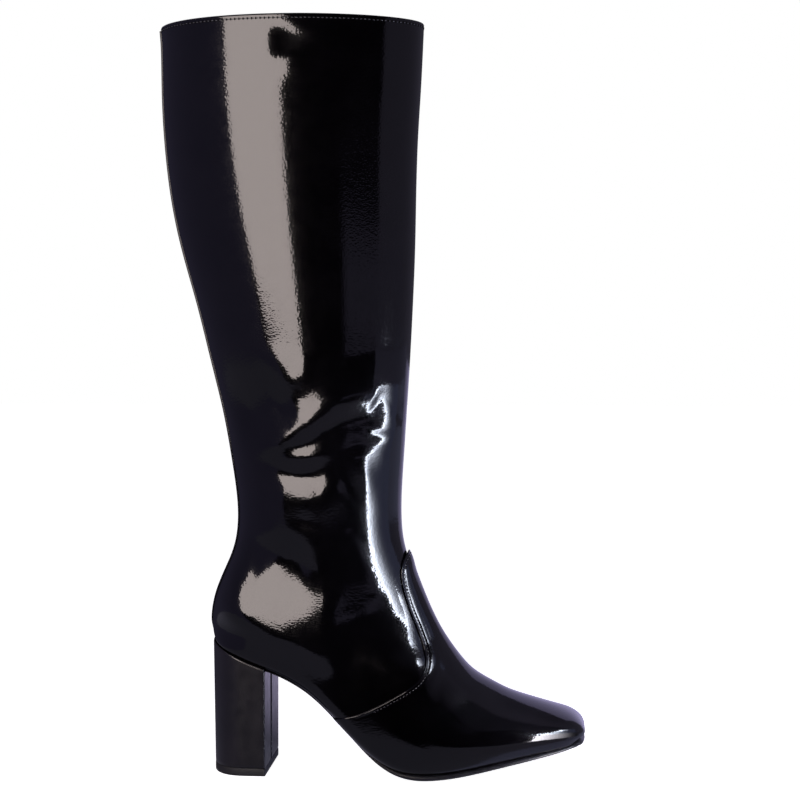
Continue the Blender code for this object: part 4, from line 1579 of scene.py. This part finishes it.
@dataclass
class Studio:
    """Floor, lights, surroundings and camera."""

    camera_at: tuple[float, float, float] = (0.10518, -1.07644, 0.277)
    camera_down: float = 2.045
    camera_turn: float = 4.6
    lens: float = 75.6
    sensor: float = 36.0
    near: float = 0.01
    floor_half: float = 6.0
    floor_colour: Colour = (0.9, 0.9, 0.9)
    floor_roughness: float = 0.9
    floor_glow: float = 0.97
    lean_from: float = 0.17
    lean: float = 0.5
    panels: tuple[Panel, ...] = (
        # The light on the outer side of shaft and ankle.
        Panel("side_softbox", (
            (-98.0, -1000.0, 165.0), (-545.0, -1000.0, 190.0), (-640.0, -1000.0, 427.0),
            (-745.0, -1000.0, 660.0), (-860.0, -1000.0, 900.0), (-175.0, -1000.0, 900.0),
            (-145.0, -1000.0, 650.0), (-98.0, -1000.0, 400.0)), (1.0, 0.875, 0.84), 6.2),
        # The narrow light down the front, in three parts that step back with height.
        Panel("front_card", ((184.0, -199.0, 0.0), (290.0, -37.0, 0.0), (290.0, -37.0, 155.0),
                             (184.0, -199.0, 155.0)), *CARD_LIGHT),
        Panel("front_card_top", ((184.0, -199.0, 155.0), (290.0, -37.0, 155.0),
                                 (325.0, 16.5, 212.0), (219.0, -145.5, 212.0)), *CARD_LIGHT),
        Panel("front_card_peak", ((219.0, -145.5, 212.0), (325.0, 16.5, 212.0),
                                  (325.0, 16.5, 246.0), (219.0, -145.5, 246.0)), *CARD_LIGHT),
        # A dark and a dim strip above it, and a dark one along the side.
        Panel("shaft_flag", ((-9.4, -125.0, 241.0), (36.0, -62.0, 241.0), (34.0, -64.6, 267.0),
                             (-5.1, -119.0, 262.0))),
        Panel("shaft_screen", ((36.0, -62.0, 241.0), (145.0, 90.0, 241.0), (145.0, 90.0, 267.0),
                               (34.0, -64.6, 267.0)), (0.68, 0.65, 1.0), 0.26),
        Panel("side_flag", ((-80.0, -180.0, 40.0), (20.0, -180.0, 40.0), (20.0, -180.0, 112.0),
                            (-80.0, -180.0, 97.0))),
        # The light's lower end at the vamp's seam, and the dim part under it.
        Panel("instep_screen", ((75.0, -28.0, 90.0), (53.0, -66.0, 70.0), (53.0, -66.0, 112.0),
                                (75.0, -28.0, 112.0)), (0.75, 0.70, 1.0), 0.24, 0.6),
        Panel("seam_card", ((59.6, -54.6, 113.0), (71.0, -35.0, 113.0), (71.0, -35.0, 127.0),
                            (61.0, -52.2, 127.0)), CARD_COLOUR, 36.0, 4.0, CARD_REST),
        # The small light on the toe, and the dark beside it.
        Panel("toe_flag", ((75.0, -110.0, 0.0), (114.0, -82.0, 0.0), (114.0, -82.0, 112.0),
                           (75.0, -110.0, 112.0))),
        Panel("toe_card", ((114.0, -82.0, 0.0), (190.0, -20.0, 0.0), (190.0, -20.0, 50.0),
                           (114.0, -82.0, 50.0)), (0.95, 0.92, 1.0), 30.0, 6.0, (0.1, 0.1, 0.12)),
        # Weak lights on the heel's breast and on the edge of the inner side.
        Panel("breast_card", ((-75.0, 150.0, 42.0), (-75.0, 150.0, -22.0), (-25.0, 150.0, -22.0),
                              (-25.0, 150.0, 42.0)), (0.76, 0.68, 1.0), 0.9, 1.0, (0.04, 0.04, 0.06)),
        Panel("low_screen", ((200.0, 140.0, 0.0), (30.0, 240.0, 0.0), (30.0, 240.0, 250.0),
                             (200.0, 140.0, 250.0)), (0.66, 0.61, 1.0), 0.64),
    )
    walls: tuple[Wall, ...] = (
        # Left and right of the boot.
        Wall((0.115, 0.105, 0.185), (Limit(Bearing.AZIMUTH, -26.0, -29.0),
                                     Limit(Bearing.AZIMUTH, -70.0, -165.0, 1.0, 0.12))),
        Wall((0.15, 0.14, 0.20), RIGHT_LIMITS),
        # A low band that reaches further to the front, and the brighter foot of the right wall.
        Wall((0.15, 0.14, 0.21), (Limit(Bearing.HEIGHT, 0.045, 0.02), Limit(Bearing.HEIGHT, -0.075, -0.06),
                                  Limit(Bearing.AZIMUTH, 23.0, 27.0),
                                  Limit(Bearing.AZIMUTH, 90.0, 110.0, 1.0, 0.0))),
        Wall((0.30, 0.31, 0.48), (Limit(Bearing.HEIGHT, -0.06, -0.09), *RIGHT_LIMITS)),
        # Ground and ceiling.
        Wall((0.17, 0.165, 0.22), (Limit(Bearing.HEIGHT, -0.20, -0.26),)),
        Wall((0.05, 0.05, 0.07), (Limit(Bearing.HEIGHT, 0.45, 0.8),)),
    )

    def world(self) -> None:
        """Sets surroundings: white behind the boot, dark walls in its reflections."""
        world = bpy.data.worlds.new("studio")
        bpy.context.scene.world = world
        world.use_nodes = True
        tree = world.node_tree
        tree.nodes.clear()
        toward = add_node(tree, "ShaderNodeTexCoord").outputs["Generated"]
        parts = add_node(tree, "ShaderNodeSeparateXYZ", {"Vector": toward}).outputs
        azimuth = math_node(tree, "ARCTAN2", parts["X"], math_node(tree, "MULTIPLY", parts["Y"], -1.0))
        over = math_node(tree, "MAXIMUM", math_node(tree, "SUBTRACT", parts["Z"], self.lean_from), 0.0)
        leaning = math_node(tree, "SUBTRACT", azimuth, math_node(tree, "MULTIPLY", over, self.lean))
        bearings = {Bearing.AZIMUTH: azimuth, Bearing.LEANING: leaning, Bearing.HEIGHT: parts["Z"]}
        total = None
        for wall in self.walls:
            amount = 1.0
            for limit in wall.limits:
                share = self.eased(tree, bearings[limit.bearing], limit)
                amount = math_node(tree, "MULTIPLY", share, amount)
            inputs = {0: wall.colour, "Scale": amount}
            tint = add_node(tree, "ShaderNodeVectorMath", inputs, operation="SCALE")
            light = tint.outputs["Vector"]
            if total is not None:
                join = add_node(tree, "ShaderNodeVectorMath", {0: total, 1: light}, operation="MAXIMUM")
                light = join.outputs["Vector"]
            total = light
        walls = add_node(tree, "ShaderNodeBackground", {"Color": total})
        white = add_node(tree, "ShaderNodeBackground", {"Color": (1.0, 1.0, 1.0, 1.0)})
        seen = add_node(tree, "ShaderNodeLightPath").outputs["Is Camera Ray"]
        mix = add_node(tree, "ShaderNodeMixShader", {
            "Fac": seen, 1: walls.outputs["Background"], 2: white.outputs["Background"]})
        add_node(tree, "ShaderNodeOutputWorld", {"Surface": mix.outputs["Shader"]})

    @staticmethod
    def eased(
        tree: bpy.types.NodeTree, value: bpy.types.NodeSocket, limit: Limit
    ) -> bpy.types.NodeSocket:
        """Adds a smooth range.

        Args:
            tree: The nodes.
            value: What is ranged.
            limit: Where the range starts and ends.

        Returns:
            The ranged value.
        """
        ends = [(limit.first, limit.low), (limit.last, limit.high)]
        if limit.bearing is not Bearing.HEIGHT:
            ends = [(math.radians(place), result) for place, result in ends]
        (first, low), (last, high) = sorted(ends)
        node = add_node(tree, "ShaderNodeMapRange", {
            "Value": value, "From Min": first, "From Max": last, "To Min": low, "To Max": high},
            interpolation_type="SMOOTHSTEP")
        return node.outputs["Result"]

    def lights(self) -> None:
        """Makes the flat lights, which the camera doesn't see."""
        for panel in self.panels:
            mesh = bpy.data.meshes.new(panel.name)
            corners = to_row(np.array(panel.corners)).tolist()
            mesh.from_pydata(corners, [], [list(range(len(corners)))])
            material = bpy.data.materials.new(panel.name)
            material.use_nodes = True
            tree = material.node_tree
            tree.nodes.clear()
            glow = add_node(tree, "ShaderNodeEmission", {
                "Color": (*panel.colour, 1.0), "Strength": panel.strength})
            light = glow.outputs["Emission"]
            if panel.fade > 0.0:
                light = self.fade(mesh, tree, panel, glow)
            add_node(tree, "ShaderNodeOutputMaterial", {"Surface": light})
            mesh.materials.append(material)
            thing = show(panel.name, mesh)
            thing.visible_camera = False

    @staticmethod
    def fade(
        mesh: bpy.types.Mesh, tree: bpy.types.NodeTree, panel: Panel, glow: bpy.types.Node
    ) -> bpy.types.NodeSocket:
        """Makes a light fall off along its first edge.

        Args:
            mesh: The light's mesh.
            tree: Its material's nodes.
            panel: The light.
            glow: Its emission node.

        Returns:
            The falling light and the rest together.
        """
        layer = mesh.uv_layers.new(name="share")
        for loop, place in zip(layer.data, ((0.0, 0.0), (1.0, 0.0), (1.0, 1.0), (0.0, 1.0))):
            loop.uv = place
        share = add_node(tree, "ShaderNodeUVMap", uv_map="share")
        parts = add_node(tree, "ShaderNodeSeparateXYZ", {"Vector": share.outputs["UV"]})
        left = math_node(tree, "MULTIPLY_ADD", parts.outputs["X"], -1.0, 1.0)
        power = math_node(tree, "POWER", left, panel.fade)
        fill(tree, glow, {"Strength": math_node(tree, "MULTIPLY", power, panel.strength)})
        rest = add_node(tree, "ShaderNodeEmission", {"Color": (*panel.rest, 1.0), "Strength": 1.0})
        both = add_node(tree, "ShaderNodeAddShader", {
            0: glow.outputs["Emission"], 1: rest.outputs["Emission"]})
        return both.outputs["Shader"]

    def floor(self) -> None:
        """Makes the plain pale floor."""
        mesh = bpy.data.meshes.new("floor")
        side = self.floor_half
        corners = [(-side, -side, 0), (side, -side, 0), (side, side, 0), (-side, side, 0)]
        mesh.from_pydata(corners, [], [(0, 1, 2, 3)])
        material = bpy.data.materials.new("floor_white")
        material.use_nodes = True
        tree = material.node_tree
        fill(tree, tree.nodes["Principled BSDF"], {
            "Base Color": (*self.floor_colour, 1.0), "Roughness": self.floor_roughness,
            "Emission Color": (1.0, 1.0, 1.0, 1.0), "Emission Strength": self.floor_glow})
        mesh.materials.append(material)
        floor = show("floor", mesh)
        floor.visible_glossy = False
        floor.visible_diffuse = False

    def camera(self) -> None:
        """Makes the camera at the photograph's place."""
        data = bpy.data.cameras.new("camera")
        data.lens = self.lens
        data.sensor_width = self.sensor
        data.sensor_fit = "HORIZONTAL"
        data.clip_start = self.near
        camera = show("camera", data)
        camera.location = self.camera_at
        camera.rotation_euler = (math.radians(90.0 - self.camera_down), 0.0, math.radians(self.camera_turn))
        bpy.context.scene.camera = camera
        bpy.context.scene.view_settings.view_transform = "Standard"

    def build(self) -> None:
        """Makes all of the studio."""
        self.camera()
        self.world()
        self.lights()
        self.floor()


def main() -> None:
    """Builds the boot's pieces in order, then the studio."""
    logging.basicConfig(level=logging.INFO, format="%(name)s %(message)s", force=True)
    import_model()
    last = Last(SECTIONS, FOLDS)
    patent = PATENT.material()
    thread = THREAD.material()
    Upper(last).dress(patent, LINING.material())
    vamp = Vamp(last)
    vamp.dress(patent)
    BackStrip(last).dress(STRIP.material())
    Sock(last).dress(SOCK.material())
    Outsole(last).dress(SOLE_EDGE.material())
    Heel(last).dress(HEEL_COVER.material(), HEEL_RUBBER.material())
    Seams(last, vamp).dress(thread, PINHOLE_SHADE.material())
    Studio().build()


if __name__ == "__main__":
    main()
